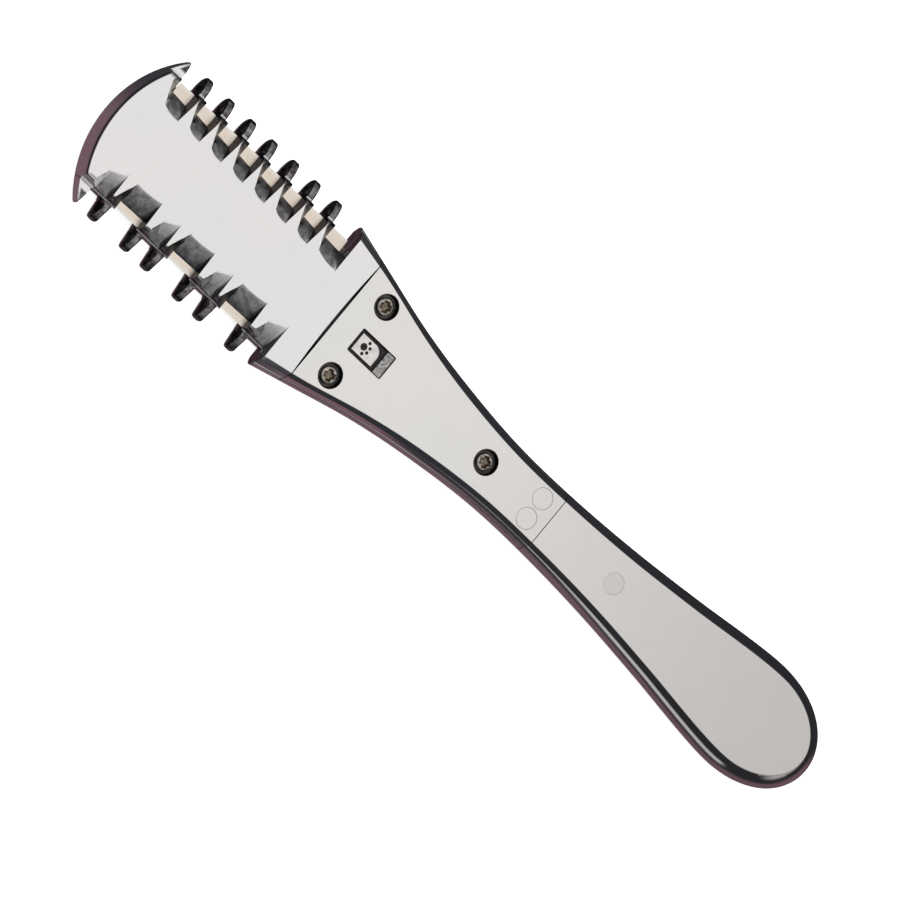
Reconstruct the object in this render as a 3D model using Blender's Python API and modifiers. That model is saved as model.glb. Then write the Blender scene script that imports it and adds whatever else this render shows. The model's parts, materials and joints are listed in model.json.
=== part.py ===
"""A double-sided dematting comb: two comb plates clamp a double-edged blade, and a screwed
neck and a paddle grip hold them. Units are metres. +X runs from the head to the grip, +Y
across the comb, +Z out of the front face. The origin is on the flat back, under the head."""

import math

import bmesh
import bpy
from mathutils import Vector

MM = 0.001

# Thickness, measured up from the flat back.
THICKNESS = 4.8 * MM
BACK_TOP = 2.80 * MM
COVER_BOTTOM = 2.90 * MM
FRONT_BOTTOM = 2.98 * MM
CHAMFER_DEPTH = 0.85 * MM
BLADE_BOTTOM = 2.84 * MM
BLADE_THICKNESS = 0.10 * MM

# Side wall of the handle: height, and the share of the flare reached there.
WALL_LEVELS = (
    (0.0, 0.45),
    (0.7 * MM, 0.86),
    (1.7 * MM, 1.0),
    (BACK_TOP, 0.76),
    (COVER_BOTTOM, 0.74),
    (FRONT_BOTTOM, 0.72),
    (THICKNESS - CHAMFER_DEPTH, 0.40),
    (THICKNESS, 0.0),
)

# Plan of the handle: distance along it, half-width of the front face, flare of the wall.
STATIONS = (
    (24.0 * MM, 12.25 * MM, 2.20 * MM),
    (32.0 * MM, 10.70 * MM, 1.75 * MM),
    (44.0 * MM, 7.75 * MM, 1.80 * MM),
    (55.0 * MM, 5.77 * MM, 1.95 * MM),
    (68.0 * MM, 4.45 * MM, 1.90 * MM),
    (80.0 * MM, 4.30 * MM, 1.85 * MM),
    (95.0 * MM, 4.85 * MM, 1.95 * MM),
    (110.0 * MM, 6.15 * MM, 2.00 * MM),
    (123.0 * MM, 7.60 * MM, 2.05 * MM),
    (129.3 * MM, 7.95 * MM, 2.10 * MM),
)
GRIP_END_X = 141.0 * MM
GRIP_END_GAIN = 0.35
SIDE_STEP = 4.0 * MM
GRIP_END_STEPS = 16
REAR_EDGE_STEPS = 8

# Seams across the comb.
SHOULDER_X = 23.9 * MM
HEAD_REAR_X = 29.45 * MM
HEAD_REAR_HOLLOW = 0.30 * MM
NECK_FRONT_X = 29.60 * MM
NECK_REAR_X = 80.25 * MM
GRIP_FRONT_X = 80.37 * MM

# Head.
END_ARC_X = -22.7 * MM
END_ARC_RADIUS = 21.3 * MM
END_ARC_STEPS = 24
LIP_THICKNESS = 1.2 * MM
LIP_HALF = 11.3 * MM
LIP_CLEARANCE = 0.10 * MM
FRONT_TOOTH_Y = 11.45 * MM
TIP_Y = 15.0 * MM
TOOTH_FOOT_HALF = 1.25 * MM
CORNER_TOOTH_X = -16.75 * MM
FINE_FIRST_X = -12.15 * MM
FINE_PITCH = 5.10 * MM
FINE_TEETH = 7
COARSE_FIRST_X = -12.70 * MM
COARSE_WIDE_PITCH = 7.55 * MM
COARSE_NARROW_PITCH = 4.90 * MM
COARSE_TEETH = 6
SHOULDER_GAP_DEPTH = 0.10 * MM
SHOULDER_CLEARANCE = 0.20 * MM
# Each valley: its inner edge at the +X end, how much further out that edge lies at the -X end,
# its foot at the blade, and the outer lean of the steep flank.
FINE_VALLEY = (5.5 * MM, 0.75 * MM, 8.75 * MM, 1.0 * MM)
WIDE_VALLEY = (5.5 * MM, 0.35 * MM, 9.65 * MM, 0.3 * MM)
CLOSED_VALLEY = (5.9 * MM, 1.5 * MM, 12.3 * MM, 0.3 * MM)
INNER_LEAN = 0.15 * MM
SHALLOW_FLANK_LEAN = 0.42
NOSE_TOP_Y = 10.0 * MM
NOSE_FOOT_Y = 11.7 * MM
CUT_OUTER_Y = 14.5 * MM
BACK_GAP_ROOT_Y = 9.9 * MM
CLOSED_GAP_ROOT_Y = 11.3 * MM
BULLET_START_Y = 12.2 * MM
BULLET_LENGTH = 3.0 * MM
BULLET_STEPS = 5
BACK_NOSE = (
    (11.9 * MM, BACK_TOP),
    (13.4 * MM, 2.40 * MM),
    (14.4 * MM, 1.75 * MM),
    (TIP_Y, 0.95 * MM),
    (14.8 * MM, 0.40 * MM),
    (14.0 * MM, 0.0),
)
CUT_MARGIN = 0.4 * MM

# Tongues of the two comb plates, clamped in the neck.
TONGUE_HALF = 4.5 * MM
TONGUE_END_X = 37.5 * MM
TONGUE_ROOT_X = 27.0 * MM
FRONT_TONGUE_TOP = 3.48 * MM
BACK_TONGUE_BOTTOM = 1.70 * MM
BACK_TONGUE_TOP = 2.70 * MM
POCKET_CLEARANCE = 0.10 * MM
LOCATING_BOSS_X = 33.6 * MM
LOCATING_BOSS_RADIUS = 1.5 * MM

# Double-edged blade.
BLADE_CENTRE_X = 3.3 * MM
BLADE_HALF_LENGTH = 21.4 * MM
BLADE_HALF_WIDTH = 11.05 * MM
BLADE_EDGE_BEVEL = 0.55 * MM
BLADE_NOTCH_X = 1.6 * MM
BLADE_NOTCH_Y = 3.2 * MM
BLADE_SLOT_HALF = 0.9 * MM
BLADE_PEG_OFFSET = 14.8 * MM
BLADE_PEG_RADIUS = 2.0 * MM
BLADE_PEG_TOP = 2.93 * MM
RUNNING_CLEARANCE = 0.05 * MM

# Screws, washers and threaded inserts.
SCREWS = (
    ("left", 34.9 * MM, 7.2 * MM),
    ("right", 34.9 * MM, -7.2 * MM),
    ("rear", 65.3 * MM, 0.0),
)
COUNTERBORE_RADIUS = 2.15 * MM
COUNTERBORE_FLOOR = 3.60 * MM
SCREW_HOLE_RADIUS = 0.95 * MM
HEAD_RADIUS = 1.5 * MM
HEAD_BOTTOM = 3.84 * MM
HEAD_TOP = 4.45 * MM
SHANK_RADIUS = 0.80 * MM
SHANK_BOTTOM = 1.00 * MM
CROSS_LENGTH = 1.9 * MM
CROSS_WIDTH = 0.45 * MM
CROSS_DEPTH = 0.35 * MM
SCREW_EDGE_BREAK = 0.20 * MM
WASHER_HOLE_RADIUS = 0.90 * MM
WASHER_RADIUS = 1.95 * MM
WASHER_BOTTOM = 3.62 * MM
WASHER_TOP = 3.80 * MM
INSERT_RADIUS = 1.45 * MM
INSERT_BOTTOM = 0.85 * MM
INSERT_TOP = 2.75 * MM
INSERT_POCKET_BOTTOM = 0.80 * MM
ROUND_SEGMENTS = 32

# Steel tang between neck and grip, and its dowel pins.
TANG_FRONT_X = 68.5 * MM
TANG_REAR_X = 104.0 * MM
TANG_HALF = 4.3 * MM
TANG_BOTTOM = 1.20 * MM
TANG_TOP = 2.40 * MM
PIN_RADIUS = 1.8 * MM
PIN_BOTTOM = 0.70 * MM
PIN_TOP = THICKNESS - 0.02 * MM
NECK_PIN_X = 76.9 * MM
NECK_PIN_Y = 2.07 * MM
GRIP_PIN_X = 95.9 * MM

# Badge set in the front cover.
BADGE_X = 38.0 * MM
BADGE_HALF_LENGTH = 3.8 * MM
BADGE_HALF_WIDTH = 2.2 * MM
BADGE_FLOOR = 4.10 * MM
BADGE_PLATE_TOP = 4.32 * MM
BADGE_RELIEF_TOP = 4.62 * MM
BADGE_CLEARANCE = 0.12 * MM
BADGE_FIELD_LENGTH = 4.6 * MM
BADGE_FIELD_INSET = 0.35 * MM
BADGE_FIELD_ROUND = 1.6 * MM
BADGE_FIELD_STEPS = 6
BADGE_STRIP_LENGTH = 1.55 * MM
PAW_DEPTH = 0.16 * MM
PAW_OFFSET = 1.75 * MM
PAW_PAD_RADIUS = 0.62 * MM
PAW_TOE_RADIUS = 0.28 * MM
PAW_TOE_REACH = 1.15 * MM
PAW_TOE_ANGLES = (-66.0, -22.0, 22.0, 66.0)

# Finishes: colour and roughness.
SATIN_CHROME = ((0.78, 0.77, 0.76), 0.25)
BLADE_STEEL = ((0.80, 0.71, 0.60), 0.30)
SCREW_STEEL = ((0.55, 0.50, 0.44), 0.28)
DARK_STEEL = ((0.20, 0.19, 0.19), 0.40)
PLAIN_STEEL = ((0.66, 0.65, 0.64), 0.35)
BRASS = ((0.78, 0.60, 0.30), 0.35)
BADGE_METAL = ((0.70, 0.69, 0.68), 0.30)

# Mesh finishing.
SHARP_ANGLE = math.radians(30)
WELD_DISTANCE = 1e-7
AXIS_WELD = 1e-6


def clear_scene():
    for old in list(bpy.data.objects):
        bpy.data.objects.remove(old, do_unlink=True)


def new_collection(name):
    collection = bpy.data.collections.new(name)
    bpy.context.scene.collection.children.link(collection)
    return collection


def make_metal(name, finish):
    colour, roughness = finish
    material = bpy.data.materials.new(name)
    material.use_nodes = True
    shader = material.node_tree.nodes["Principled BSDF"]
    shader.inputs["Base Color"].default_value = (*colour, 1.0)
    shader.inputs["Metallic"].default_value = 1.0
    shader.inputs["Roughness"].default_value = roughness
    return material


def finish_object(name, bm, collection, origin=(0.0, 0.0, 0.0)):
    """Make an object of the bmesh, with its origin moved to the given point."""
    bmesh.ops.remove_doubles(bm, verts=bm.verts, dist=WELD_DISTANCE)
    bmesh.ops.recalc_face_normals(bm, faces=bm.faces)
    bmesh.ops.translate(bm, verts=bm.verts, vec=-Vector(origin))
    mesh = bpy.data.meshes.new(name)
    bm.to_mesh(mesh)
    bm.free()
    obj = bpy.data.objects.new(name, mesh)
    obj.location = origin
    collection.objects.link(obj)
    return obj


def make_node(name, bm, finish, origin=(0.0, 0.0, 0.0)):
    obj = finish_object(name, bm, comb_parts, origin)
    obj.data.materials.append(make_metal(name + "_metal", finish))
    obj.data.shade_smooth()
    obj.data.set_sharp_from_angle(angle=SHARP_ANGLE)
    return obj


def make_cutter(name, bm):
    obj = finish_object(name, bm, cutters)
    obj.hide_render = True
    obj.display_type = "WIRE"
    return obj


def boolean(obj, tool, operation):
    modifier = obj.modifiers.new(tool.name, "BOOLEAN")
    modifier.operation = operation
    modifier.solver = "EXACT"
    modifier.object = tool


def add_box(bm, low, high):
    made = bmesh.ops.create_cube(bm, size=1.0)["verts"]
    for vert in made:
        share = vert.co + Vector((0.5, 0.5, 0.5))
        vert.co = [a + (b - a) * s for a, b, s in zip(low, high, share)]


def add_cylinder(bm, x, y, radius, low, high):
    cone = bmesh.ops.create_cone(
        bm, cap_ends=True, segments=ROUND_SEGMENTS, radius1=radius, radius2=radius, depth=high - low
    )
    bmesh.ops.translate(bm, verts=cone["verts"], vec=(x, y, (low + high) / 2))


def make_turned(name, profile, finish, x, y, closed=False):
    """A node turned from (radius, z) points, listed from top to bottom, round an upright axis."""
    edges = [(i, i + 1) for i in range(len(profile) - 1)]
    if closed:
        edges.append((len(profile) - 1, 0))
    mesh = bpy.data.meshes.new(name)
    mesh.from_pydata([(radius, 0.0, z) for radius, z in profile], edges, [])
    mesh.materials.append(make_metal(name + "_metal", finish))
    obj = bpy.data.objects.new(name, mesh)
    obj.location = (x, y, 0.0)
    comb_parts.objects.link(obj)
    turn = obj.modifiers.new("turn", "SCREW")
    turn.steps = turn.render_steps = ROUND_SEGMENTS
    turn.use_merge_vertices = True
    turn.merge_threshold = AXIS_WELD
    turn.use_smooth_shade = False
    return obj


def add_prism(bm, outline, low, high):
    """Extrude a flat outline of (x, y) points between two heights."""
    face = bm.faces.new([bm.verts.new((x, y, low)) for x, y in outline])
    top = bmesh.ops.extrude_face_region(bm, geom=[face])["geom"]
    moved = [item for item in top if isinstance(item, bmesh.types.BMVert)]
    bmesh.ops.translate(bm, verts=moved, vec=(0, 0, high - low))


def add_bar(bm, profile, start_x, end_x):
    """Extrude a section of (y, z) points along X."""
    face = bm.faces.new([bm.verts.new((start_x, y, z)) for y, z in profile])
    end = bmesh.ops.extrude_face_region(bm, geom=[face])["geom"]
    moved = [item for item in end if isinstance(item, bmesh.types.BMVert)]
    bmesh.ops.translate(bm, verts=moved, vec=(end_x - start_x, 0, 0))


def add_hull(bm, points):
    made = [bm.verts.new(point) for point in points]
    bmesh.ops.convex_hull(bm, input=made)


def add_loft(bm, rings):
    """Join closed rings of equal point count, and cap the first and the last."""
    loops = [[bm.verts.new(point) for point in ring] for ring in rings]
    for below, above in zip(loops, loops[1:]):
        for i in range(len(below)):
            j = (i + 1) % len(below)
            bm.faces.new((below[i], below[j], above[j], above[i]))
    bm.faces.new(reversed(loops[0]))
    bm.faces.new(loops[-1])


def station_value(x, column):
    """Smooth curve through one column of STATIONS."""
    last = len(STATIONS) - 2
    i = max(k for k in range(last + 1) if k == 0 or STATIONS[k][0] <= x)

    def slope(k):
        low, high = STATIONS[max(k - 1, 0)], STATIONS[min(k + 1, last + 1)]
        return (high[column] - low[column]) / (high[0] - low[0])

    span = STATIONS[i + 1][0] - STATIONS[i][0]
    t = (x - STATIONS[i][0]) / span
    start_slope = slope(i) * span
    end_slope = 0.0 if i == last else slope(i + 1) * span
    rise = STATIONS[i + 1][column] - STATIONS[i][column]
    return (
        STATIONS[i][column]
        + t * start_slope
        + t * t * (3 * rise - 2 * start_slope - end_slope)
        + t * t * t * (start_slope + end_slope - 2 * rise)
    )


def half_width(x, share):
    return station_value(x, 1) + share * station_value(x, 2)


def steps_between(start, end, step):
    count = max(1, round((end - start) / step))
    return [start + (end - start) * i / count for i in range(count + 1)]


def side_points(start, end, share):
    """Points of the +Y edge of the handle from start to end."""
    return [(x, half_width(x, share)) for x in steps_between(start, end, SIDE_STEP)]


def mirrored(points):
    return [(x, -y) for x, y in reversed(points)]


def ring(points, z):
    return [(x, y, z) for x, y in points]


def levels_between(low, high):
    return [level for level in WALL_LEVELS if low <= level[0] <= high]


def neck_body(name, low, high):
    rings = []
    for z, share in levels_between(low, high):
        edge = side_points(NECK_FRONT_X, NECK_REAR_X, share)
        rings.append(ring(mirrored(edge) + edge, z))
    bm = bmesh.new()
    add_loft(bm, rings)
    return make_node(name, bm, SATIN_CHROME)


def grip_ring(z, share):
    start_x = STATIONS[-1][0]
    edge = side_points(GRIP_FRONT_X, start_x, share)
    reach = GRIP_END_X - start_x
    half, flare = STATIONS[-1][1:]
    for i in range(1, GRIP_END_STEPS):
        angle = math.pi / 2 * i / GRIP_END_STEPS
        normal = Vector((half * math.sin(angle), reach * math.cos(angle))).normalized()
        out = share * flare * (1 + GRIP_END_GAIN * math.sin(angle) ** 2)
        x = start_x + reach * math.sin(angle) + normal.x * out
        edge.append((x, half * math.cos(angle) + normal.y * out))
    end = (GRIP_END_X + share * flare * (1 + GRIP_END_GAIN), 0.0)
    return ring(edge + [end] + mirrored(edge), z)


def arc_points(offset, limit_y):
    """The convex head end moved outwards by an offset, from -limit_y to limit_y."""
    radius = END_ARC_RADIUS + offset
    centre_x = END_ARC_X + END_ARC_RADIUS
    sweep = math.asin(limit_y / radius)
    points = []
    for i in range(END_ARC_STEPS + 1):
        angle = sweep * (2 * i / END_ARC_STEPS - 1)
        points.append((centre_x - radius * math.cos(angle), radius * math.sin(angle)))
    return points


def rear_edge(share):
    """Slightly hollow rear edge of the head, from +Y to -Y."""
    reach = half_width(HEAD_REAR_X, share)
    points = []
    for i in range(1, REAR_EDGE_STEPS):
        y = reach * (1 - 2 * i / REAR_EDGE_STEPS)
        points.append((HEAD_REAR_X - HEAD_REAR_HOLLOW * (1 - (y / reach) ** 2), y))
    return points


def head_ring(z, share, tooth_y):
    shoulder = side_points(SHOULDER_X, HEAD_REAR_X, share)
    line_end = (SHOULDER_X - CUT_MARGIN, tooth_y)
    outline = arc_points(0.0, tooth_y)
    outline += [line_end] + shoulder + rear_edge(share) + mirrored(shoulder)
    outline.append((line_end[0], -tooth_y))
    return ring(outline, z)


def tooth_gaps(centres):
    """Foot edges of the gaps between the corner tooth, the teeth and the shoulder."""
    starts = [CORNER_TOOTH_X] + [centre + TOOTH_FOOT_HALF for centre in centres]
    ends = [centre - TOOTH_FOOT_HALF for centre in centres] + [SHOULDER_X + SHOULDER_GAP_DEPTH]
    return list(zip(starts, ends))


def fine_gaps():
    return tooth_gaps([FINE_FIRST_X + FINE_PITCH * k for k in range(FINE_TEETH)])


def coarse_gaps():
    centres = [COARSE_FIRST_X]
    for k in range(COARSE_TEETH - 1):
        centres.append(centres[-1] + (COARSE_NARROW_PITCH if k % 2 else COARSE_WIDE_PITCH))
    return tooth_gaps(centres)


def valley_cutter(name, side, gap, valley):
    """Scoop between two front teeth: a ramp from the face down to the blade, a shallow flank on
    its -X side and a steep one on its +X side, upright where it meets the shoulder."""
    start, end = gap
    top_y, slant, foot_y, steep_lean = valley
    at_shoulder = end > SHOULDER_X
    low, high = FRONT_BOTTOM - CUT_MARGIN, THICKNESS + CUT_MARGIN
    slope = (foot_y - top_y) / (THICKNESS - FRONT_BOTTOM)
    ramp_low = side * (foot_y + slope * CUT_MARGIN)
    ramp_high = side * (top_y - slope * CUT_MARGIN)
    outer = side * CUT_OUTER_Y
    shallow_lean = INNER_LEAN + SHALLOW_FLANK_LEAN * (CUT_OUTER_Y - top_y - slant)
    inner_end, outer_end = (end, end) if at_shoulder else (end + INNER_LEAN, end + steep_lean)
    points = [(x, y, low) for x in gap for y in (ramp_low, outer)]
    points += [(start - INNER_LEAN, ramp_high + side * slant, high), (inner_end, ramp_high, high)]
    points += [(start - shallow_lean, outer, high), (outer_end, outer, high)]
    bm = bmesh.new()
    add_hull(bm, points)
    return make_cutter(name, bm)


def front_valley_cutters():
    """One cutter for each valley, because the shallow flanks reach over the next valley."""
    cutters_made = []
    for k, gap in enumerate(fine_gaps()):
        cutters_made.append(valley_cutter(f"cut_fine_valley_{k}", 1, gap, FINE_VALLEY))
    for k, gap in enumerate(coarse_gaps()):
        valley = WIDE_VALLEY if k % 2 else CLOSED_VALLEY
        cutters_made.append(valley_cutter(f"cut_coarse_valley_{k}", -1, gap, valley))
    return cutters_made


def nose_bars(name, section):
    """The same section on both sides, along the toothed length of the head."""
    bm = bmesh.new()
    for side in (1, -1):
        profile = [(side * y, z) for y, z in section]
        add_bar(bm, profile, END_ARC_X - 2 * CUT_MARGIN, SHOULDER_X - SHOULDER_CLEARANCE)
    return make_cutter(name, bm)


def front_nose_cutter():
    """Slopes the ends of the front teeth on both sides."""
    low, high = FRONT_BOTTOM - CUT_MARGIN, THICKNESS + CUT_MARGIN
    slope = (NOSE_FOOT_Y - NOSE_TOP_Y) / (THICKNESS - FRONT_BOTTOM)
    section = (
        (NOSE_TOP_Y - slope * CUT_MARGIN, high),
        (NOSE_FOOT_Y + slope * CUT_MARGIN, low),
        (CUT_OUTER_Y, low),
        (CUT_OUTER_Y, high),
    )
    return nose_bars("cut_front_noses", section)


def bullet_half(y):
    reach = max(0.0, y - BULLET_START_Y) / BULLET_LENGTH
    return TOOTH_FOOT_HALF * math.sqrt(1.0 - reach * reach)


def add_back_gap(bm, side, gap, root_y):
    """Gap between two back teeth, opening out round their bullet-shaped ends."""
    start, end = gap
    step = (TIP_Y - BULLET_START_Y) / BULLET_STEPS
    rows = [BULLET_START_Y + step * i for i in range(BULLET_STEPS + 1)]
    narrowing = [TOOTH_FOOT_HALF - bullet_half(y) for y in rows]
    widen_start = start > CORNER_TOOTH_X
    widen_end = end < SHOULDER_X
    right = [(end + widen_end * extra, y) for extra, y in zip(narrowing, rows)]
    left = [(start - widen_start * extra, y) for extra, y in zip(narrowing, rows)]
    outer = TIP_Y + 2 * CUT_MARGIN
    outline = [(start, root_y), (end, root_y)] + right
    outline += [(right[-1][0], outer), (left[-1][0], outer)] + left[::-1]
    add_prism(bm, [(x, side * y) for x, y in outline], -CUT_MARGIN, BACK_TOP + CUT_MARGIN)


def back_gap_cutter():
    bm = bmesh.new()
    for gap in fine_gaps():
        add_back_gap(bm, 1, gap, BACK_GAP_ROOT_Y)
    for k, gap in enumerate(coarse_gaps()):
        add_back_gap(bm, -1, gap, BACK_GAP_ROOT_Y if k % 2 else CLOSED_GAP_ROOT_Y)
    return make_cutter("cut_back_gaps", bm)


def back_nose_cutter():
    """Rounds the ends of the back teeth, seen from the side."""
    outer = TIP_Y + 2 * CUT_MARGIN
    before = (BACK_NOSE[0][0] - CUT_MARGIN, BACK_TOP + CUT_MARGIN)
    after = (BACK_NOSE[-1][0] - CUT_MARGIN, -CUT_MARGIN)
    section = [before, *BACK_NOSE, after, (outer, -CUT_MARGIN), (outer, BACK_TOP + CUT_MARGIN)]
    return nose_bars("cut_back_noses", section)


def front_tongue():
    bm = bmesh.new()
    low = (TONGUE_ROOT_X, -TONGUE_HALF, FRONT_BOTTOM)
    add_box(bm, low, (TONGUE_END_X, TONGUE_HALF, FRONT_TONGUE_TOP))
    return make_cutter("join_front_tongue", bm)


def end_band(name, outer, inner, limit_y, low, high):
    """Curved band along the head end, between two offsets of the end arc."""
    outline = arc_points(outer, limit_y) + arc_points(inner, limit_y)[::-1]
    bm = bmesh.new()
    add_prism(bm, outline, low, high)
    return make_cutter(name, bm)


def end_lip():
    """Wall of the front plate that wraps down over the end of the back plate."""
    return end_band("join_end_lip", 0.0, -LIP_THICKNESS, LIP_HALF, 0.0, FRONT_BOTTOM + CUT_MARGIN)


def lip_recess():
    """Room for the lip in the back plate."""
    inner = -LIP_THICKNESS - LIP_CLEARANCE
    limit_y = LIP_HALF + LIP_CLEARANCE
    return end_band("cut_lip_recess", CUT_MARGIN, inner, limit_y, -CUT_MARGIN, BACK_TOP + CUT_MARGIN)


def build_head_front_comb():
    bm = bmesh.new()
    levels = levels_between(FRONT_BOTTOM, THICKNESS)
    add_loft(bm, [head_ring(z, share, FRONT_TOOTH_Y) for z, share in levels])
    comb = make_node("head_front_comb", bm, SATIN_CHROME)
    for cutter in front_valley_cutters():
        boolean(comb, cutter, "DIFFERENCE")
    boolean(comb, front_nose_cutter(), "DIFFERENCE")
    boolean(comb, front_tongue(), "UNION")
    boolean(comb, end_lip(), "UNION")


def back_additions():
    """Rear tongue, and the two pegs that hold the blade."""
    bm = bmesh.new()
    low = (TONGUE_ROOT_X, -TONGUE_HALF, BACK_TONGUE_BOTTOM)
    add_box(bm, low, (TONGUE_END_X, TONGUE_HALF, BACK_TONGUE_TOP))
    radius = BLADE_PEG_RADIUS - RUNNING_CLEARANCE
    for x in (BLADE_CENTRE_X - BLADE_PEG_OFFSET, BLADE_CENTRE_X + BLADE_PEG_OFFSET):
        add_cylinder(bm, x, 0.0, radius, BACK_TONGUE_BOTTOM, BLADE_PEG_TOP)
    return make_cutter("join_back_tongue", bm)


def locating_hole():
    bm = bmesh.new()
    radius = LOCATING_BOSS_RADIUS + RUNNING_CLEARANCE
    add_cylinder(bm, LOCATING_BOSS_X, 0.0, radius, 0.0, THICKNESS)
    return make_cutter("cut_locating_hole", bm)


def build_head_back_comb():
    bm = bmesh.new()
    add_loft(bm, [head_ring(z, share, TIP_Y) for z, share in levels_between(0.0, BACK_TOP)])
    comb = make_node("head_back_comb", bm, SATIN_CHROME)
    boolean(comb, back_gap_cutter(), "DIFFERENCE")
    boolean(comb, back_nose_cutter(), "DIFFERENCE")
    boolean(comb, lip_recess(), "DIFFERENCE")
    boolean(comb, back_additions(), "UNION")
    boolean(comb, locating_hole(), "DIFFERENCE")


def blade_ring(z, inset):
    """Outline of the blade, with stepped corners and its two long edges pulled in."""
    end_x, notch_x = BLADE_HALF_LENGTH, BLADE_HALF_LENGTH - BLADE_NOTCH_X
    edge_y, notch_y = BLADE_HALF_WIDTH - inset, BLADE_HALF_WIDTH - BLADE_NOTCH_Y
    quarter = [(notch_x, edge_y), (notch_x, notch_y), (end_x, notch_y)]
    half = quarter + [(x, -y) for x, y in reversed(quarter)]
    outline = half + [(-x, -y) for x, y in half]
    return [(BLADE_CENTRE_X + x, y, z) for x, y in outline]


def blade_opening_cutter():
    """Central slot, widened to a round hole at each peg."""
    slot = bmesh.new()
    low = (BLADE_CENTRE_X - BLADE_PEG_OFFSET, -BLADE_SLOT_HALF, BLADE_BOTTOM - CUT_MARGIN)
    add_box(slot, low, (BLADE_CENTRE_X + BLADE_PEG_OFFSET, BLADE_SLOT_HALF, THICKNESS))
    cutter = make_cutter("cut_blade_slot", slot)
    holes = bmesh.new()
    for x in (BLADE_CENTRE_X - BLADE_PEG_OFFSET, BLADE_CENTRE_X + BLADE_PEG_OFFSET):
        add_cylinder(holes, x, 0.0, BLADE_PEG_RADIUS, BLADE_BOTTOM - CUT_MARGIN, THICKNESS)
    return cutter, make_cutter("cut_blade_holes", holes)


def build_blade():
    top = BLADE_BOTTOM + BLADE_THICKNESS
    middle = BLADE_BOTTOM + BLADE_THICKNESS / 2
    levels = ((BLADE_BOTTOM, BLADE_EDGE_BEVEL), (middle, 0.0), (top, BLADE_EDGE_BEVEL))
    bm = bmesh.new()
    add_loft(bm, [blade_ring(z, inset) for z, inset in levels])
    blade = make_node("double_edge_blade", bm, BLADE_STEEL)
    for cutter in blade_opening_cutter():
        boolean(blade, cutter, "DIFFERENCE")


def neck_hole_cutter(name, radius, low, high):
    """Three round holes for the screws, or for what sits round them."""
    bm = bmesh.new()
    for _, x, y in SCREWS:
        add_cylinder(bm, x, y, radius, low, high)
    return make_cutter(name, bm)


def neck_pin_cutter(name, low, high):
    bm = bmesh.new()
    for y in (NECK_PIN_Y, -NECK_PIN_Y):
        add_cylinder(bm, NECK_PIN_X, y, PIN_RADIUS + RUNNING_CLEARANCE, low, high)
    return make_cutter(name, bm)


def box_cutter(name, low, high):
    bm = bmesh.new()
    add_box(bm, low, high)
    return make_cutter(name, bm)


def badge_recess_cutter():
    low = (BADGE_X - BADGE_HALF_LENGTH, -BADGE_HALF_WIDTH, BADGE_FLOOR)
    high = (BADGE_X + BADGE_HALF_LENGTH, BADGE_HALF_WIDTH, THICKNESS + CUT_MARGIN)
    return box_cutter("cut_badge_recess", low, high)


def tongue_pocket_cutter(name, bottom, top):
    half = TONGUE_HALF + POCKET_CLEARANCE
    low = (NECK_FRONT_X - CUT_MARGIN, -half, bottom)
    return box_cutter(name, low, (TONGUE_END_X + POCKET_CLEARANCE, half, top))


def build_neck_front_cover():
    cover = neck_body("neck_front_cover", COVER_BOTTOM, THICKNESS)
    above, below = THICKNESS + CUT_MARGIN, COVER_BOTTOM - CUT_MARGIN
    pocket_top = FRONT_TONGUE_TOP + POCKET_CLEARANCE
    cut = (
        neck_hole_cutter("cut_counterbores", COUNTERBORE_RADIUS, COUNTERBORE_FLOOR, above),
        neck_hole_cutter("cut_screw_holes", SCREW_HOLE_RADIUS, below, above),
        neck_pin_cutter("cut_cover_pin_holes", below, above),
        badge_recess_cutter(),
        tongue_pocket_cutter("cut_cover_pocket", below, pocket_top),
    )
    for cutter in cut:
        boolean(cover, cutter, "DIFFERENCE")


def locating_boss():
    bm = bmesh.new()
    low, high = INSERT_POCKET_BOTTOM, BACK_TONGUE_TOP
    add_cylinder(bm, LOCATING_BOSS_X, 0.0, LOCATING_BOSS_RADIUS, low, high)
    return make_cutter("join_locating_boss", bm)


def tang_slot_cutter(name, start_x, end_x, top):
    half, low = TANG_HALF + POCKET_CLEARANCE, TANG_BOTTOM - POCKET_CLEARANCE
    return box_cutter(name, (start_x, -half, low), (end_x, half, top))


def build_neck_back_cover():
    cover = neck_body("neck_back_cover", 0.0, BACK_TOP)
    above = BACK_TOP + CUT_MARGIN
    pocket_bottom = BACK_TONGUE_BOTTOM - POCKET_CLEARANCE
    insert_hole = INSERT_RADIUS + RUNNING_CLEARANCE
    slot_start, slot_end = TANG_FRONT_X - POCKET_CLEARANCE, NECK_REAR_X + CUT_MARGIN
    boolean(cover, tongue_pocket_cutter("cut_back_pocket", pocket_bottom, above), "DIFFERENCE")
    boolean(cover, locating_boss(), "UNION")
    cut = (
        neck_hole_cutter("cut_insert_pockets", insert_hole, INSERT_POCKET_BOTTOM, above),
        tang_slot_cutter("cut_neck_slot", slot_start, slot_end, above),
        neck_pin_cutter("cut_back_pin_holes", PIN_BOTTOM - RUNNING_CLEARANCE, above),
    )
    for cutter in cut:
        boolean(cover, cutter, "DIFFERENCE")


def grip_pin_cutter(name, low):
    bm = bmesh.new()
    radius = PIN_RADIUS + RUNNING_CLEARANCE
    add_cylinder(bm, GRIP_PIN_X, 0.0, radius, low, THICKNESS + CUT_MARGIN)
    return make_cutter(name, bm)


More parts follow.
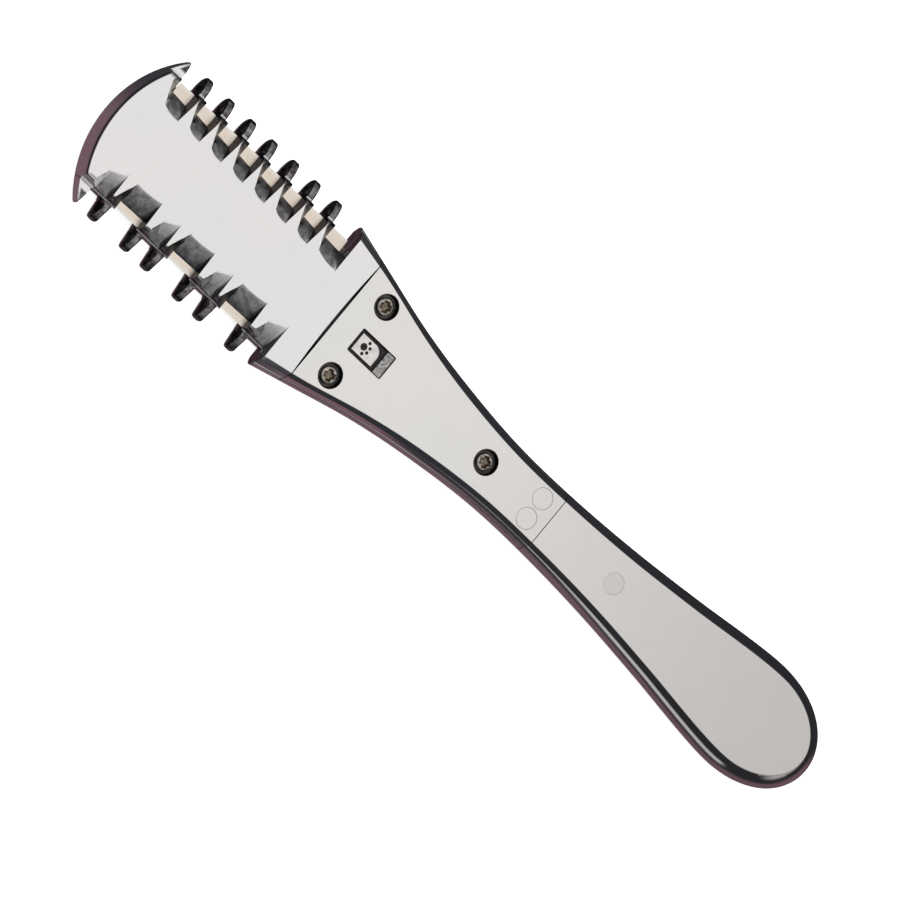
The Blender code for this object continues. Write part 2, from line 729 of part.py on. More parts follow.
def build_grip():
    bm = bmesh.new()
    add_loft(bm, [grip_ring(z, share) for z, share in WALL_LEVELS])
    grip = make_node("grip_body", bm, SATIN_CHROME)
    start, end = GRIP_FRONT_X - CUT_MARGIN, TANG_REAR_X + POCKET_CLEARANCE
    slot = tang_slot_cutter("cut_grip_slot", start, end, TANG_TOP + POCKET_CLEARANCE)
    boolean(grip, slot, "DIFFERENCE")
    boolean(grip, grip_pin_cutter("cut_grip_pin_hole", PIN_BOTTOM - RUNNING_CLEARANCE), "DIFFERENCE")


def build_tang():
    bm = bmesh.new()
    add_box(bm, (TANG_FRONT_X, -TANG_HALF, TANG_BOTTOM), (TANG_REAR_X, TANG_HALF, TANG_TOP))
    tang = make_node("handle_tang", bm, PLAIN_STEEL)
    boolean(tang, neck_pin_cutter("cut_tang_neck_holes", 0.0, THICKNESS), "DIFFERENCE")
    boolean(tang, grip_pin_cutter("cut_tang_grip_hole", 0.0), "DIFFERENCE")


def build_pin(name, x, y):
    bm = bmesh.new()
    add_cylinder(bm, x, y, PIN_RADIUS, PIN_BOTTOM, PIN_TOP)
    make_node(name, bm, SATIN_CHROME, origin=(x, y, 0.0))


def cross_cutter(name, x, y):
    """Cross recess in a screw head."""
    bm = bmesh.new()
    half, arm = CROSS_LENGTH / 2, CROSS_WIDTH / 2
    quarter = [(half, arm), (arm, arm), (arm, half)]
    outline = list(quarter)
    for _ in range(3):
        quarter = [(-b, a) for a, b in quarter]
        outline += quarter
    placed = [(x + a, y + b) for a, b in outline]
    add_prism(bm, placed, HEAD_TOP - CROSS_DEPTH, HEAD_TOP + CUT_MARGIN)
    return make_cutter("cut_cross_" + name, bm)


def build_screw(name, x, y):
    """Pan-head screw: the head and the shank are turned from one profile."""
    profile = (
        (0.0, HEAD_TOP),
        (HEAD_RADIUS - SCREW_EDGE_BREAK, HEAD_TOP),
        (HEAD_RADIUS, HEAD_TOP - SCREW_EDGE_BREAK),
        (HEAD_RADIUS, HEAD_BOTTOM),
        (SHANK_RADIUS, HEAD_BOTTOM),
        (SHANK_RADIUS, SHANK_BOTTOM + SCREW_EDGE_BREAK),
        (SHANK_RADIUS - SCREW_EDGE_BREAK, SHANK_BOTTOM),
        (0.0, SHANK_BOTTOM),
    )
    screw = make_turned("cover_screw_" + name, profile, SCREW_STEEL, x, y)
    boolean(screw, cross_cutter(name, x, y), "DIFFERENCE")


def build_ring(name, x, y, section, finish):
    """Flat washer or tube: a turned rectangle of outer and inner radius, bottom and top."""
    outer, inner, low, high = section
    corners = ((outer, high), (outer, low), (inner, low), (inner, high))
    make_turned(name, corners, finish, x, y, closed=True)


def build_fasteners():
    washer = (WASHER_RADIUS, WASHER_HOLE_RADIUS, WASHER_BOTTOM, WASHER_TOP)
    insert = (INSERT_RADIUS, SHANK_RADIUS + RUNNING_CLEARANCE, INSERT_BOTTOM, INSERT_TOP)
    for name, x, y in SCREWS:
        build_screw(name, x, y)
        build_ring("screw_washer_" + name, x, y, washer, DARK_STEEL)
        build_ring("screw_insert_" + name, x, y, insert, BRASS)


def badge_relief():
    """Raised field with one large rounded corner, and a raised strip beside it."""
    bottom = BADGE_FLOOR + POCKET_CLEARANCE
    reach_x, reach_y = BADGE_HALF_LENGTH - BADGE_CLEARANCE, BADGE_HALF_WIDTH - BADGE_CLEARANCE
    start = BADGE_X - reach_x + BADGE_FIELD_INSET
    end = start + BADGE_FIELD_LENGTH
    half = reach_y - BADGE_FIELD_INSET
    outline = [(start, half), (start, -half), (end, -half)]
    for i in range(BADGE_FIELD_STEPS + 1):
        angle = math.radians(90.0) * i / BADGE_FIELD_STEPS
        x = end - BADGE_FIELD_ROUND * (1 - math.cos(angle))
        outline.append((x, half - BADGE_FIELD_ROUND * (1 - math.sin(angle))))
    bm = bmesh.new()
    add_prism(bm, outline, bottom, BADGE_RELIEF_TOP)
    strip_low = (BADGE_X + reach_x - BADGE_STRIP_LENGTH, -reach_y, bottom)
    add_box(bm, strip_low, (BADGE_X + reach_x, reach_y, BADGE_RELIEF_TOP))
    return make_cutter("join_badge_relief", bm)


def paw_cutter():
    """Paw print sunk in the raised field: one pad and four toes."""
    bottom, top = BADGE_RELIEF_TOP - PAW_DEPTH, THICKNESS
    pad_x = BADGE_X - PAW_OFFSET
    bm = bmesh.new()
    add_cylinder(bm, pad_x, 0.0, PAW_PAD_RADIUS, bottom, top)
    for degrees in PAW_TOE_ANGLES:
        angle = math.radians(degrees)
        x, y = pad_x + PAW_TOE_REACH * math.cos(angle), PAW_TOE_REACH * math.sin(angle)
        add_cylinder(bm, x, y, PAW_TOE_RADIUS, bottom, top)
    return make_cutter("cut_paw", bm)


def build_badge():
    bm = bmesh.new()
    reach_x, reach_y = BADGE_HALF_LENGTH - BADGE_CLEARANCE, BADGE_HALF_WIDTH - BADGE_CLEARANCE
    low = (BADGE_X - reach_x, -reach_y, BADGE_FLOOR + RUNNING_CLEARANCE)
    add_box(bm, low, (BADGE_X + reach_x, reach_y, BADGE_PLATE_TOP))
    badge = make_node("badge_plate", bm, BADGE_METAL)
    boolean(badge, badge_relief(), "UNION")
    boolean(badge, paw_cutter(), "DIFFERENCE")


clear_scene()
comb_parts = new_collection("dematting_comb")
cutters = new_collection("cutters")
cutters.hide_render = True

build_head_back_comb()
build_head_front_comb()
build_blade()
build_neck_back_cover()
build_neck_front_cover()
build_grip()
build_tang()
build_pin("neck_pin_left", NECK_PIN_X, NECK_PIN_Y)
build_pin("neck_pin_right", NECK_PIN_X, -NECK_PIN_Y)
build_pin("grip_pin", GRIP_PIN_X, 0.0)
build_fasteners()
build_badge()
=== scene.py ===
"""Looks for the dematting comb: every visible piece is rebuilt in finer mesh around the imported
CAD frame, with procedural metals, a pale floor and soft studio light. Units are metres."""

import json
import math

import bmesh
import bpy
from mathutils import Matrix, Vector

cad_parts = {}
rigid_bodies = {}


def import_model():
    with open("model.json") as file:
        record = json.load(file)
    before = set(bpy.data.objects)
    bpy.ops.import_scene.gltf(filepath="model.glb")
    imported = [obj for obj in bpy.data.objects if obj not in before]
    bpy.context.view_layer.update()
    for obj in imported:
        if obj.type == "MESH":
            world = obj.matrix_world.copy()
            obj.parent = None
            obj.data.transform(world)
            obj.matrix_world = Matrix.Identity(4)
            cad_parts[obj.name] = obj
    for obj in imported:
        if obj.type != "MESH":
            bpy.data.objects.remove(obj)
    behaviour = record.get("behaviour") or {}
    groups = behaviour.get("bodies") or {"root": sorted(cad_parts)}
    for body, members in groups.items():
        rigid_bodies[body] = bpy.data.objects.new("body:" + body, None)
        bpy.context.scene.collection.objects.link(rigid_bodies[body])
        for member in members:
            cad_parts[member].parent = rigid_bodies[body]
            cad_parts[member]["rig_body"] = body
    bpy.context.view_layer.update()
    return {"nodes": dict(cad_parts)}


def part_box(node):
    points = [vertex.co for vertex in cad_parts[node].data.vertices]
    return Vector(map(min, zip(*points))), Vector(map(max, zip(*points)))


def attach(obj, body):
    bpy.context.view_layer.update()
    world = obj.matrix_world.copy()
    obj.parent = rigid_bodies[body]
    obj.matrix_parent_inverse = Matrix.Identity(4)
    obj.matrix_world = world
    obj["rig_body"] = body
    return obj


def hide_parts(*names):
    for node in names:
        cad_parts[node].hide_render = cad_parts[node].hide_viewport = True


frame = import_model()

MM = 0.001

# Heights taken from the frame.
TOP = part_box("grip_body")[1].z
PLATE_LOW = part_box("neck_front_cover")[0].z + 0.08 * MM
COVER_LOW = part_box("neck_front_cover")[0].z
BACK_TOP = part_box("neck_back_cover")[1].z
BLADE_LOW, BLADE_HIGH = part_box("double_edge_blade")

# Wall of the handle: height, and the share of the flare reached there.
CHAMFER_DEPTH = 0.85 * MM
CHAMFER_SHARE = 0.40
WALL_LEVELS = (
    (TOP - CHAMFER_DEPTH, CHAMFER_SHARE),
    (COVER_LOW, 0.74),
    (1.7 * MM, 1.0),
    (0.7 * MM, 0.86),
    (0.0, 0.45),
)

# Plan of the handle: distance along it, half-width of the front face, flare of the wall.
STATIONS = (
    (24.0 * MM, 12.25 * MM, 2.20 * MM),
    (32.0 * MM, 10.70 * MM, 1.75 * MM),
    (44.0 * MM, 7.75 * MM, 1.80 * MM),
    (55.0 * MM, 5.77 * MM, 1.95 * MM),
    (68.0 * MM, 4.45 * MM, 1.90 * MM),
    (80.0 * MM, 4.30 * MM, 1.85 * MM),
    (95.0 * MM, 4.85 * MM, 1.95 * MM),
    (110.0 * MM, 6.15 * MM, 2.00 * MM),
    (123.0 * MM, 7.60 * MM, 2.05 * MM),
    (129.3 * MM, 7.95 * MM, 2.10 * MM),
)
GRIP_END_X = 141.0 * MM
GRIP_END_GAIN = 0.35
SIDE_STEP = 0.8 * MM
GRIP_END_STEPS = 40

# Seams across the comb, from the frame.
NECK_FRONT_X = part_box("neck_front_cover")[0].x
NECK_REAR_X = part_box("neck_front_cover")[1].x
GRIP_FRONT_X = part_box("grip_body")[0].x
SHOULDER_X = 23.9 * MM
HEAD_REAR_X = NECK_FRONT_X - 0.15 * MM
HEAD_REAR_HOLLOW = 0.42 * MM
REAR_EDGE_STEPS = 24

# Head.
END_ARC_X = -22.7 * MM
END_ARC_RADIUS = 21.3 * MM
END_ARC_STEPS = 72
END_EDGE_ROUND = 0.42 * MM
LIP_THICKNESS = 1.2 * MM
LIP_HALF = 11.3 * MM
LIP_CLEARANCE = 0.10 * MM
FRONT_TOOTH_Y = 11.45 * MM
TIP_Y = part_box("head_back_comb")[1].y
TOOTH_FOOT_HALF = 1.25 * MM
CORNER_TOOTH_X = -16.75 * MM
FINE_FIRST_X = -12.15 * MM
FINE_PITCH = 5.10 * MM
FINE_TEETH = 7
COARSE_FIRST_X = -12.70 * MM
COARSE_WIDE_PITCH = 7.55 * MM
COARSE_NARROW_PITCH = 4.90 * MM
COARSE_TEETH = 6
# Each valley: inner edge at the +X end, how much further out it lies at the -X end, foot at the
# blade, outer lean of the steep flank, and bow of the inner edge.
FINE_VALLEY = (5.5 * MM, 0.75 * MM, 8.75 * MM, 1.0 * MM, -0.30 * MM)
WIDE_VALLEY = (5.5 * MM, 0.35 * MM, 9.65 * MM, 0.3 * MM, 0.20 * MM)
CLOSED_VALLEY = (5.9 * MM, 1.5 * MM, 12.3 * MM, 0.3 * MM, 0.0)
INNER_LEAN = 0.15 * MM
SHALLOW_FLANK_LEAN = 0.42
FLANK_MIN_DEPTH = 0.60 * MM
NOSE_TOP_Y = 10.0 * MM
CUT_OUTER_Y = 14.5 * MM
BACK_GAP_ROOT_Y = 9.9 * MM
CLOSED_GAP_ROOT_Y = 11.3 * MM
BULLET_START_Y = 12.2 * MM
BULLET_LENGTH = 3.0 * MM
BULLET_STEPS = 16
BLUNT_TAPER = 0.36
BLUNT_START_Y = 14.50 * MM
BLUNT_ROUND = 0.62 * MM
CUT = 0.4 * MM

# Fasteners and badge.
COUNTERBORE_RADIUS = 2.15 * MM
COUNTERBORE_FLOOR = 3.60 * MM
PIN_RADIUS = 1.8 * MM
PIN_GAP = 0.022 * MM
GRIP_PIN_GAP = 0.006 * MM
ROUND_SEGMENTS = 96


# ---------------------------------------------------------------- mesh helpers

def add_box(bm, low, high):
    made = bmesh.ops.create_cube(bm, size=1.0)["verts"]
    for vert in made:
        share = vert.co + Vector((0.5, 0.5, 0.5))
        vert.co = [a + (b - a) * s for a, b, s in zip(low, high, share)]


def add_cylinder(bm, x, y, radius, low, high):
    made = bmesh.ops.create_cone(
        bm, cap_ends=True, segments=ROUND_SEGMENTS, radius1=radius, radius2=radius, depth=high - low
    )
    bmesh.ops.translate(bm, verts=made["verts"], vec=(x, y, (low + high) / 2))


def add_prism(bm, outline, low, high):
    face = bm.faces.new([bm.verts.new((x, y, low)) for x, y in outline])
    top = bmesh.ops.extrude_face_region(bm, geom=[face])["geom"]
    moved = [item for item in top if isinstance(item, bmesh.types.BMVert)]
    bmesh.ops.translate(bm, verts=moved, vec=(0, 0, high - low))


def add_bar(bm, profile, start_x, end_x):
    """Extrude a section of (y, z) points along X."""
    face = bm.faces.new([bm.verts.new((start_x, y, z)) for y, z in profile])
    end = bmesh.ops.extrude_face_region(bm, geom=[face])["geom"]
    moved = [item for item in end if isinstance(item, bmesh.types.BMVert)]
    bmesh.ops.translate(bm, verts=moved, vec=(end_x - start_x, 0, 0))


def add_loft(bm, rings):
    """Join closed rings of equal point count, and cap the first and the last."""
    loops = [[bm.verts.new(point) for point in ring] for ring in rings]
    for below, above in zip(loops, loops[1:]):
        for i in range(len(below)):
            j = (i + 1) % len(below)
            bm.faces.new((below[i], below[j], above[j], above[i]))
    bm.faces.new(reversed(loops[0]))
    bm.faces.new(loops[-1])


def add_turned(bm, profile, x, y, closed=False):
    """Turn a profile of (radius, z) points round an upright axis at (x, y)."""
    made = [bm.verts.new((x + radius, y, z)) for radius, z in profile]
    following = made[1:] + (made[:1] if closed else [])
    edges = [bm.edges.new(pair) for pair in zip(made, following)]
    bmesh.ops.spin(
        bm, geom=made + edges, cent=(x, y, 0), axis=(0, 0, 1),
        angle=2 * math.pi, steps=ROUND_SEGMENTS, use_merge=True,
    )


def make_mesh_object(name, bm):
    bmesh.ops.remove_doubles(bm, verts=bm.verts, dist=1e-7)
    bmesh.ops.recalc_face_normals(bm, faces=bm.faces)
    mesh = bpy.data.meshes.new(name)
    bm.to_mesh(mesh)
    bm.free()
    obj = bpy.data.objects.new(name, mesh)
    bpy.context.scene.collection.objects.link(obj)
    return obj


def combine(obj, steps):
    """Apply Boolean steps of (tool object, operation) and remove the tools."""
    for tool, operation in steps:
        modifier = obj.modifiers.new(tool.name, "BOOLEAN")
        modifier.operation = operation
        modifier.solver = "EXACT"
        modifier.object = tool
    bpy.context.view_layer.update()
    graph = bpy.context.evaluated_depsgraph_get()
    mesh = bpy.data.meshes.new_from_object(obj.evaluated_get(graph))
    obj.modifiers.clear()
    obj.data = mesh
    for tool, _ in steps:
        bpy.data.objects.remove(tool)


def smooth(obj, degrees=30.0):
    """Smooth shading that keeps the flat faces flat."""
    obj.data.shade_smooth()
    obj.data.set_sharp_from_angle(angle=math.radians(degrees))
    modifier = obj.modifiers.new("even_shading", "WEIGHTED_NORMAL")
    modifier.keep_sharp = True
    modifier.weight = 80


def install(obj, node, material, replaced=()):
    """Finish a piece: it rides on the body of its CAD node and stands for it."""
    obj.data.materials.clear()
    obj.data.materials.append(material)
    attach(obj, frame["nodes"][node]["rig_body"])
    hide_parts(node, *replaced)


# ---------------------------------------------------------------- plan curves

def spline(table, x, column):
    """Smooth curve through one column of a table whose first column rises."""
    last = len(table) - 2
    i = max(k for k in range(last + 1) if k == 0 or table[k][0] <= x)

    def slope(k):
        low, high = table[max(k - 1, 0)], table[min(k + 1, last + 1)]
        return (high[column] - low[column]) / (high[0] - low[0])

    span = table[i + 1][0] - table[i][0]
    t = (x - table[i][0]) / span
    start_slope = slope(i) * span
    end_slope = 0.0 if table is STATIONS and i == last else slope(i + 1) * span
    rise = table[i + 1][column] - table[i][column]
    return (
        table[i][column]
        + t * start_slope
        + t * t * (3 * rise - 2 * start_slope - end_slope)
        + t * t * t * (start_slope + end_slope - 2 * rise)
    )


def half_width(x, share):
    return spline(STATIONS, x, 1) + share * spline(STATIONS, x, 2)


def steps_between(start, end, step):
    count = max(1, round((end - start) / step))
    return [start + (end - start) * i / count for i in range(count + 1)]


def side_points(start, end, share):
    return [(x, half_width(x, share)) for x in steps_between(start, end, SIDE_STEP)]


def mirrored(points):
    return [(x, -y) for x, y in reversed(points)]


def ring(points, z):
    return [(x, y, z) for x, y in points]


def wall_share(z):
    """Share of the flare at a height: straight chamfer on top, rounded wall below."""
    rising = tuple(reversed(WALL_LEVELS))
    if z >= TOP - CHAMFER_DEPTH:
        return CHAMFER_SHARE * (TOP - z) / CHAMFER_DEPTH
    return spline(rising, z, 1)


EDGE_BREAK = 0.06 * MM
SEAM_BREAK = 0.12 * MM


def wall_levels(low, high, low_break=0.0, high_break=0.0):
    """Heights and shares between two levels, with an optional small break at each end."""
    levels = []
    count = 14
    for i in range(count + 1):
        z = low + (high - low) * i / count
        levels.append((z, wall_share(z)))
    flare = 2.0 * MM
    if low_break:
        inner = (low, levels[0][1] - low_break / flare)
        levels = [inner, (low + low_break, wall_share(low + low_break))] + [
            level for level in levels if level[0] > low + low_break * 1.2
        ]
    if high_break:
        inner = (high, levels[-1][1] - high_break / flare)
        levels = [level for level in levels if level[0] < high - high_break * 1.2] + [
            (high - high_break, wall_share(high - high_break)), inner
        ]
    return levels


def face_levels(low, low_break=0.0):
    """Wall levels that end in the chamfer, whose two edges are rounded a little."""
    corner = TOP - CHAMFER_DEPTH
    levels = [level for level in wall_levels(low, corner, low_break) if level[0] < corner - EDGE_BREAK]
    levels.append((corner - EDGE_BREAK, wall_share(corner - EDGE_BREAK)))
    levels.append((corner + EDGE_BREAK, wall_share(corner + EDGE_BREAK)))
    levels.append((TOP - EDGE_BREAK, wall_share(TOP - EDGE_BREAK)))
    levels.append((TOP - EDGE_BREAK * 0.3, 0.0))
    levels.append((TOP, -EDGE_BREAK / (2.0 * MM)))
    return levels


# ---------------------------------------------------------------- head

def arc_points(offset, limit_y):
    """The convex head end moved outwards by an offset, from -limit_y to limit_y."""
    radius = END_ARC_RADIUS + offset
    centre_x = END_ARC_X + END_ARC_RADIUS
    sweep = math.asin(limit_y / radius)
    points = []
    for i in range(END_ARC_STEPS + 1):
        angle = sweep * (2 * i / END_ARC_STEPS - 1)
        points.append((centre_x - radius * math.cos(angle), radius * math.sin(angle)))
    return points


def rear_edge(share):
    reach = half_width(HEAD_REAR_X, share)
    points = []
    for i in range(1, REAR_EDGE_STEPS):
        y = reach * (1 - 2 * i / REAR_EDGE_STEPS)
        points.append((HEAD_REAR_X - HEAD_REAR_HOLLOW * (1 - (y / reach) ** 2), y))
    return points


def edge_inset(z):
    """How far the end wall is set back by its rounded top and bottom edges."""
    reach = END_EDGE_ROUND - min(z, TOP - z)
    if reach <= 0:
        return 0.0
    return END_EDGE_ROUND - math.sqrt(max(0.0, END_EDGE_ROUND ** 2 - reach ** 2))


def head_ring(z, share, tooth_y):
    shoulder = side_points(SHOULDER_X, HEAD_REAR_X, share)
    line_end = (SHOULDER_X - CUT, tooth_y)
    outline = arc_points(-edge_inset(z), tooth_y)
    outline += [line_end] + shoulder + rear_edge(share) + mirrored(shoulder)
    outline.append((line_end[0], -tooth_y))
    return ring(outline, z)


def tooth_gaps(centres):
    starts = [CORNER_TOOTH_X] + [centre + TOOTH_FOOT_HALF for centre in centres]
    ends = [centre - TOOTH_FOOT_HALF for centre in centres] + [SHOULDER_X + 0.1 * MM]
    return list(zip(starts, ends))


def fine_gaps():
    return tooth_gaps([FINE_FIRST_X + FINE_PITCH * k for k in range(FINE_TEETH)])


def coarse_gaps():
    centres = [COARSE_FIRST_X]
    for k in range(COARSE_TEETH - 1):
        centres.append(centres[-1] + (COARSE_NARROW_PITCH if k % 2 else COARSE_WIDE_PITCH))
    return tooth_gaps(centres)


VALLEY_ROWS = 10
VALLEY_EXTRA_ROWS = 4
VALLEY_COLUMNS = 6
VALLEY_BULGE = 0.26


def valley_object(name, side, gap, valley):
    """Cutter of one scoop: a bulging ramp down to the blade with a bowed inner edge, a shallow
    twisting flank on its -X side and a steep one on its +X side."""
    start, end = gap
    top_y, slant, foot_y, steep_lean, bow = valley
    at_shoulder = end > SHOULDER_X
    high, depth = TOP + CUT, TOP - PLATE_LOW
    rings = []
    last_t = (CUT_OUTER_Y - top_y) / (foot_y - top_y)
    shares = [i / VALLEY_ROWS for i in range(-1, VALLEY_ROWS + VALLEY_EXTRA_ROWS + 1)]
    for t in [share for share in shares if share < last_t] + [last_t]:
        bulge = VALLEY_BULGE * 2 * t * (1 - t) if 0 < t < 1 else 0.0
        floor = max(TOP - depth * (t - bulge), PLATE_LOW - CUT)
        near_y = top_y + (foot_y - top_y) * t
        far_y = near_y + slant * max(0.0, 1 - 0.7 * t)
        foot_z = min(max(floor, PLATE_LOW), TOP - FLANK_MIN_DEPTH)
        lean = INNER_LEAN + SHALLOW_FLANK_LEAN * max(0.0, far_y - top_y - slant)
        lean_rate = lean / (TOP - foot_z)
        low_x = start + lean_rate * (foot_z - floor)
        steep = 0.0 if at_shoulder else INNER_LEAN + steep_lean * min(0.6, max(0.0, t * 0.4))
        row = [(start - lean_rate * (high - foot_z), side * far_y, high)]
        for k in range(VALLEY_COLUMNS + 1):
            share = k / VALLEY_COLUMNS
            y = far_y + (near_y - far_y) * share + bow * 4 * share * (1 - share) * max(0.0, 1 - t)
            row.append((low_x + (end - low_x) * share, side * y, floor))
        row.append((end + steep, side * near_y, high))
        rings.append(row)
    bm = bmesh.new()
    add_loft(bm, rings)
    return make_mesh_object(name, bm)


def front_valleys():
    tools = []
    for k, gap in enumerate(fine_gaps()):
        tools.append(valley_object(f"fine_valley_{k}", 1, gap, FINE_VALLEY))
    for k, gap in enumerate(coarse_gaps()):
        valley = WIDE_VALLEY if k % 2 else CLOSED_VALLEY
        tools.append(valley_object(f"coarse_valley_{k}", -1, gap, valley))
    return tools


NOSE_STEPS = 12
NOSE_REACH = 1.55 * MM
LEDGE_HEIGHT = 0.16 * MM


def front_nose_object():
    """Rounds the ends of the front teeth down to a thin flat ledge above the blade."""
    bm = bmesh.new()
    depth = TOP - PLATE_LOW - LEDGE_HEIGHT
    for side, reach in ((1, NOSE_REACH), (-1, NOSE_REACH - 0.35 * MM)):
        section = [(NOSE_TOP_Y - CUT, TOP + CUT), (NOSE_TOP_Y - 0.02 * MM, TOP + 0.001 * MM)]
        for i in range(NOSE_STEPS + 1):
            angle = math.pi / 2 * 0.86 * i / NOSE_STEPS
            top_angle = math.pi / 2 * 0.86
            y = NOSE_TOP_Y + reach * math.sin(angle) / math.sin(top_angle)
            z = TOP - depth * (1 - math.cos(angle)) / (1 - math.cos(top_angle))
            section.append((y, z))
        section += [(CUT_OUTER_Y, PLATE_LOW + LEDGE_HEIGHT), (CUT_OUTER_Y, TOP + CUT)]
        profile = [(side * y, z) for y, z in section]
        add_bar(bm, profile, END_ARC_X - 2 * CUT, SHOULDER_X - 0.2 * MM)
    return make_mesh_object("front_noses", bm)


def end_band_ring(outer, inner, limit_y, z):
    return ring(arc_points(outer, limit_y) + arc_points(inner, limit_y)[::-1], z)


def end_lip_object():
    """Wall that wraps down over the end of the back plate, with a rounded lower edge."""
    heights = [END_EDGE_ROUND * i / 5 for i in range(6)] + [PLATE_LOW + CUT]
    bm = bmesh.new()
    add_loft(bm, [end_band_ring(-edge_inset(z), -LIP_THICKNESS, LIP_HALF, z) for z in heights])
    return make_mesh_object("end_lip", bm)


def lip_recess_object():
    inner, limit_y = -LIP_THICKNESS - LIP_CLEARANCE, LIP_HALF + LIP_CLEARANCE
    bm = bmesh.new()
    add_loft(bm, [end_band_ring(CUT, inner, limit_y, z) for z in (-CUT, BACK_TOP + CUT)])
    return make_mesh_object("lip_recess", bm)


def build_front_comb(material):
    bm = bmesh.new()
    add_loft(bm, [head_ring(z, share, FRONT_TOOTH_Y) for z, share in face_levels(PLATE_LOW, EDGE_BREAK)])
    comb = make_mesh_object("front_comb_plate", bm)
    steps = [(tool, "DIFFERENCE") for tool in front_valleys()]
    steps.append((front_nose_object(), "DIFFERENCE"))
    tongue = bmesh.new()
    add_box(tongue, (27.0 * MM, -4.5 * MM, PLATE_LOW), (37.5 * MM, 4.5 * MM, 3.48 * MM))
    steps.append((make_mesh_object("front_tongue", tongue), "UNION"))
    steps.append((end_lip_object(), "UNION"))
    combine(comb, steps)
    smooth(comb)
    install(comb, "head_front_comb", material)


def bullet_half(y, side):
    """Half-width of a back tooth seen from above: a bullet on the +Y side, a blunt wedge on the other."""
    reach = max(0.0, y - BULLET_START_Y) / BULLET_LENGTH
    if side > 0:
        return TOOTH_FOOT_HALF * math.sqrt(max(0.0, 1.0 - reach * reach))
    rounding = max(0.0, y - BLUNT_START_Y) / BLUNT_ROUND
    return TOOTH_FOOT_HALF * (1.0 - BLUNT_TAPER * reach) * math.sqrt(1.0 - rounding * rounding)


BACK_TOOTH_LEVELS = 10
TOOTH_WIDEST_Z = 1.35 * MM
TOOTH_RIDGE_SHARE = 0.35
TOOTH_RIDGE_POWER = 1.3
TOOTH_BOTTOM_SHARE = 0.75
ROOT_FLAT_Y = 11.95 * MM


def tooth_share(z):
    """Half-width of a back tooth at a height, against its widest."""
    if z > TOOTH_WIDEST_Z:
        reach = (z - TOOTH_WIDEST_Z) / (BACK_TOP - TOOTH_WIDEST_Z)
        return 1 - (1 - TOOTH_RIDGE_SHARE) * reach ** TOOTH_RIDGE_POWER
    reach = (TOOTH_WIDEST_Z - z) / TOOTH_WIDEST_Z
    return 1 - (1 - TOOTH_BOTTOM_SHARE) * reach ** 2


def back_gap_object(name, side, gap, root_y):
    """Cutter of one gap between two back teeth, whose sections are round like a bullet's."""
    start, end = gap
    step = (TIP_Y - ROOT_FLAT_Y) / BULLET_STEPS
    rows = [ROOT_FLAT_Y + step * i for i in range(BULLET_STEPS + 1)]
    move_start, move_end = start > CORNER_TOOTH_X, end < SHOULDER_X
    heights = [-CUT, 0.0] + [BACK_TOP * i / BACK_TOOTH_LEVELS for i in range(1, BACK_TOOTH_LEVELS + 1)]
    rings = []
    for z in heights + [BACK_TOP + CUT]:
        height = min(max(z, 0.0), BACK_TOP)
        right, left = [], []
        for y in rows:
            narrowing = TOOTH_FOOT_HALF - bullet_half(y, side) * tooth_share(height)
            right.append((end + move_end * narrowing, y))
            left.append((start - move_start * narrowing, y))
        outer = TIP_Y + 2 * CUT
        outline = [(start, root_y), (end, root_y)] + right
        outline += [(right[-1][0], outer), (left[-1][0], outer)] + left[::-1]
        rings.append(ring([(x, side * y) for x, y in outline], z))
    bm = bmesh.new()
    add_loft(bm, rings)
    return make_mesh_object(name, bm)


BACK_NOSE_FLAT_Y = 11.95 * MM
BACK_NOSE_DROP = 1.75 * MM
BACK_NOSE_STEPS = 14


def back_nose_object():
    """Rounds the ends of the back teeth from a short flat root to a blunt low tip."""
    top, outer = BACK_TOP + CUT, TIP_Y + 2 * CUT
    reach = TIP_Y - BACK_NOSE_FLAT_Y
    section = [(BACK_NOSE_FLAT_Y - CUT, top), (BACK_NOSE_FLAT_Y, BACK_TOP + 0.001 * MM)]
    for i in range(1, BACK_NOSE_STEPS + 1):
        angle = math.pi / 2 * i / BACK_NOSE_STEPS
        y = BACK_NOSE_FLAT_Y + reach * math.sin(angle)
        section.append((y, BACK_TOP - BACK_NOSE_DROP * (1 - math.cos(angle))))
    section += [(TIP_Y, 0.9 * MM), (14.8 * MM, 0.40 * MM), (14.0 * MM, 0.0), (14.0 * MM - CUT, -CUT)]
    section += [(outer, -CUT), (outer, top)]
    bm = bmesh.new()
    for side in (1, -1):
        profile = [(side * y, z) for y, z in section]
        add_bar(bm, profile, END_ARC_X - 2 * CUT, SHOULDER_X - 0.2 * MM)
    return make_mesh_object("back_noses", bm)


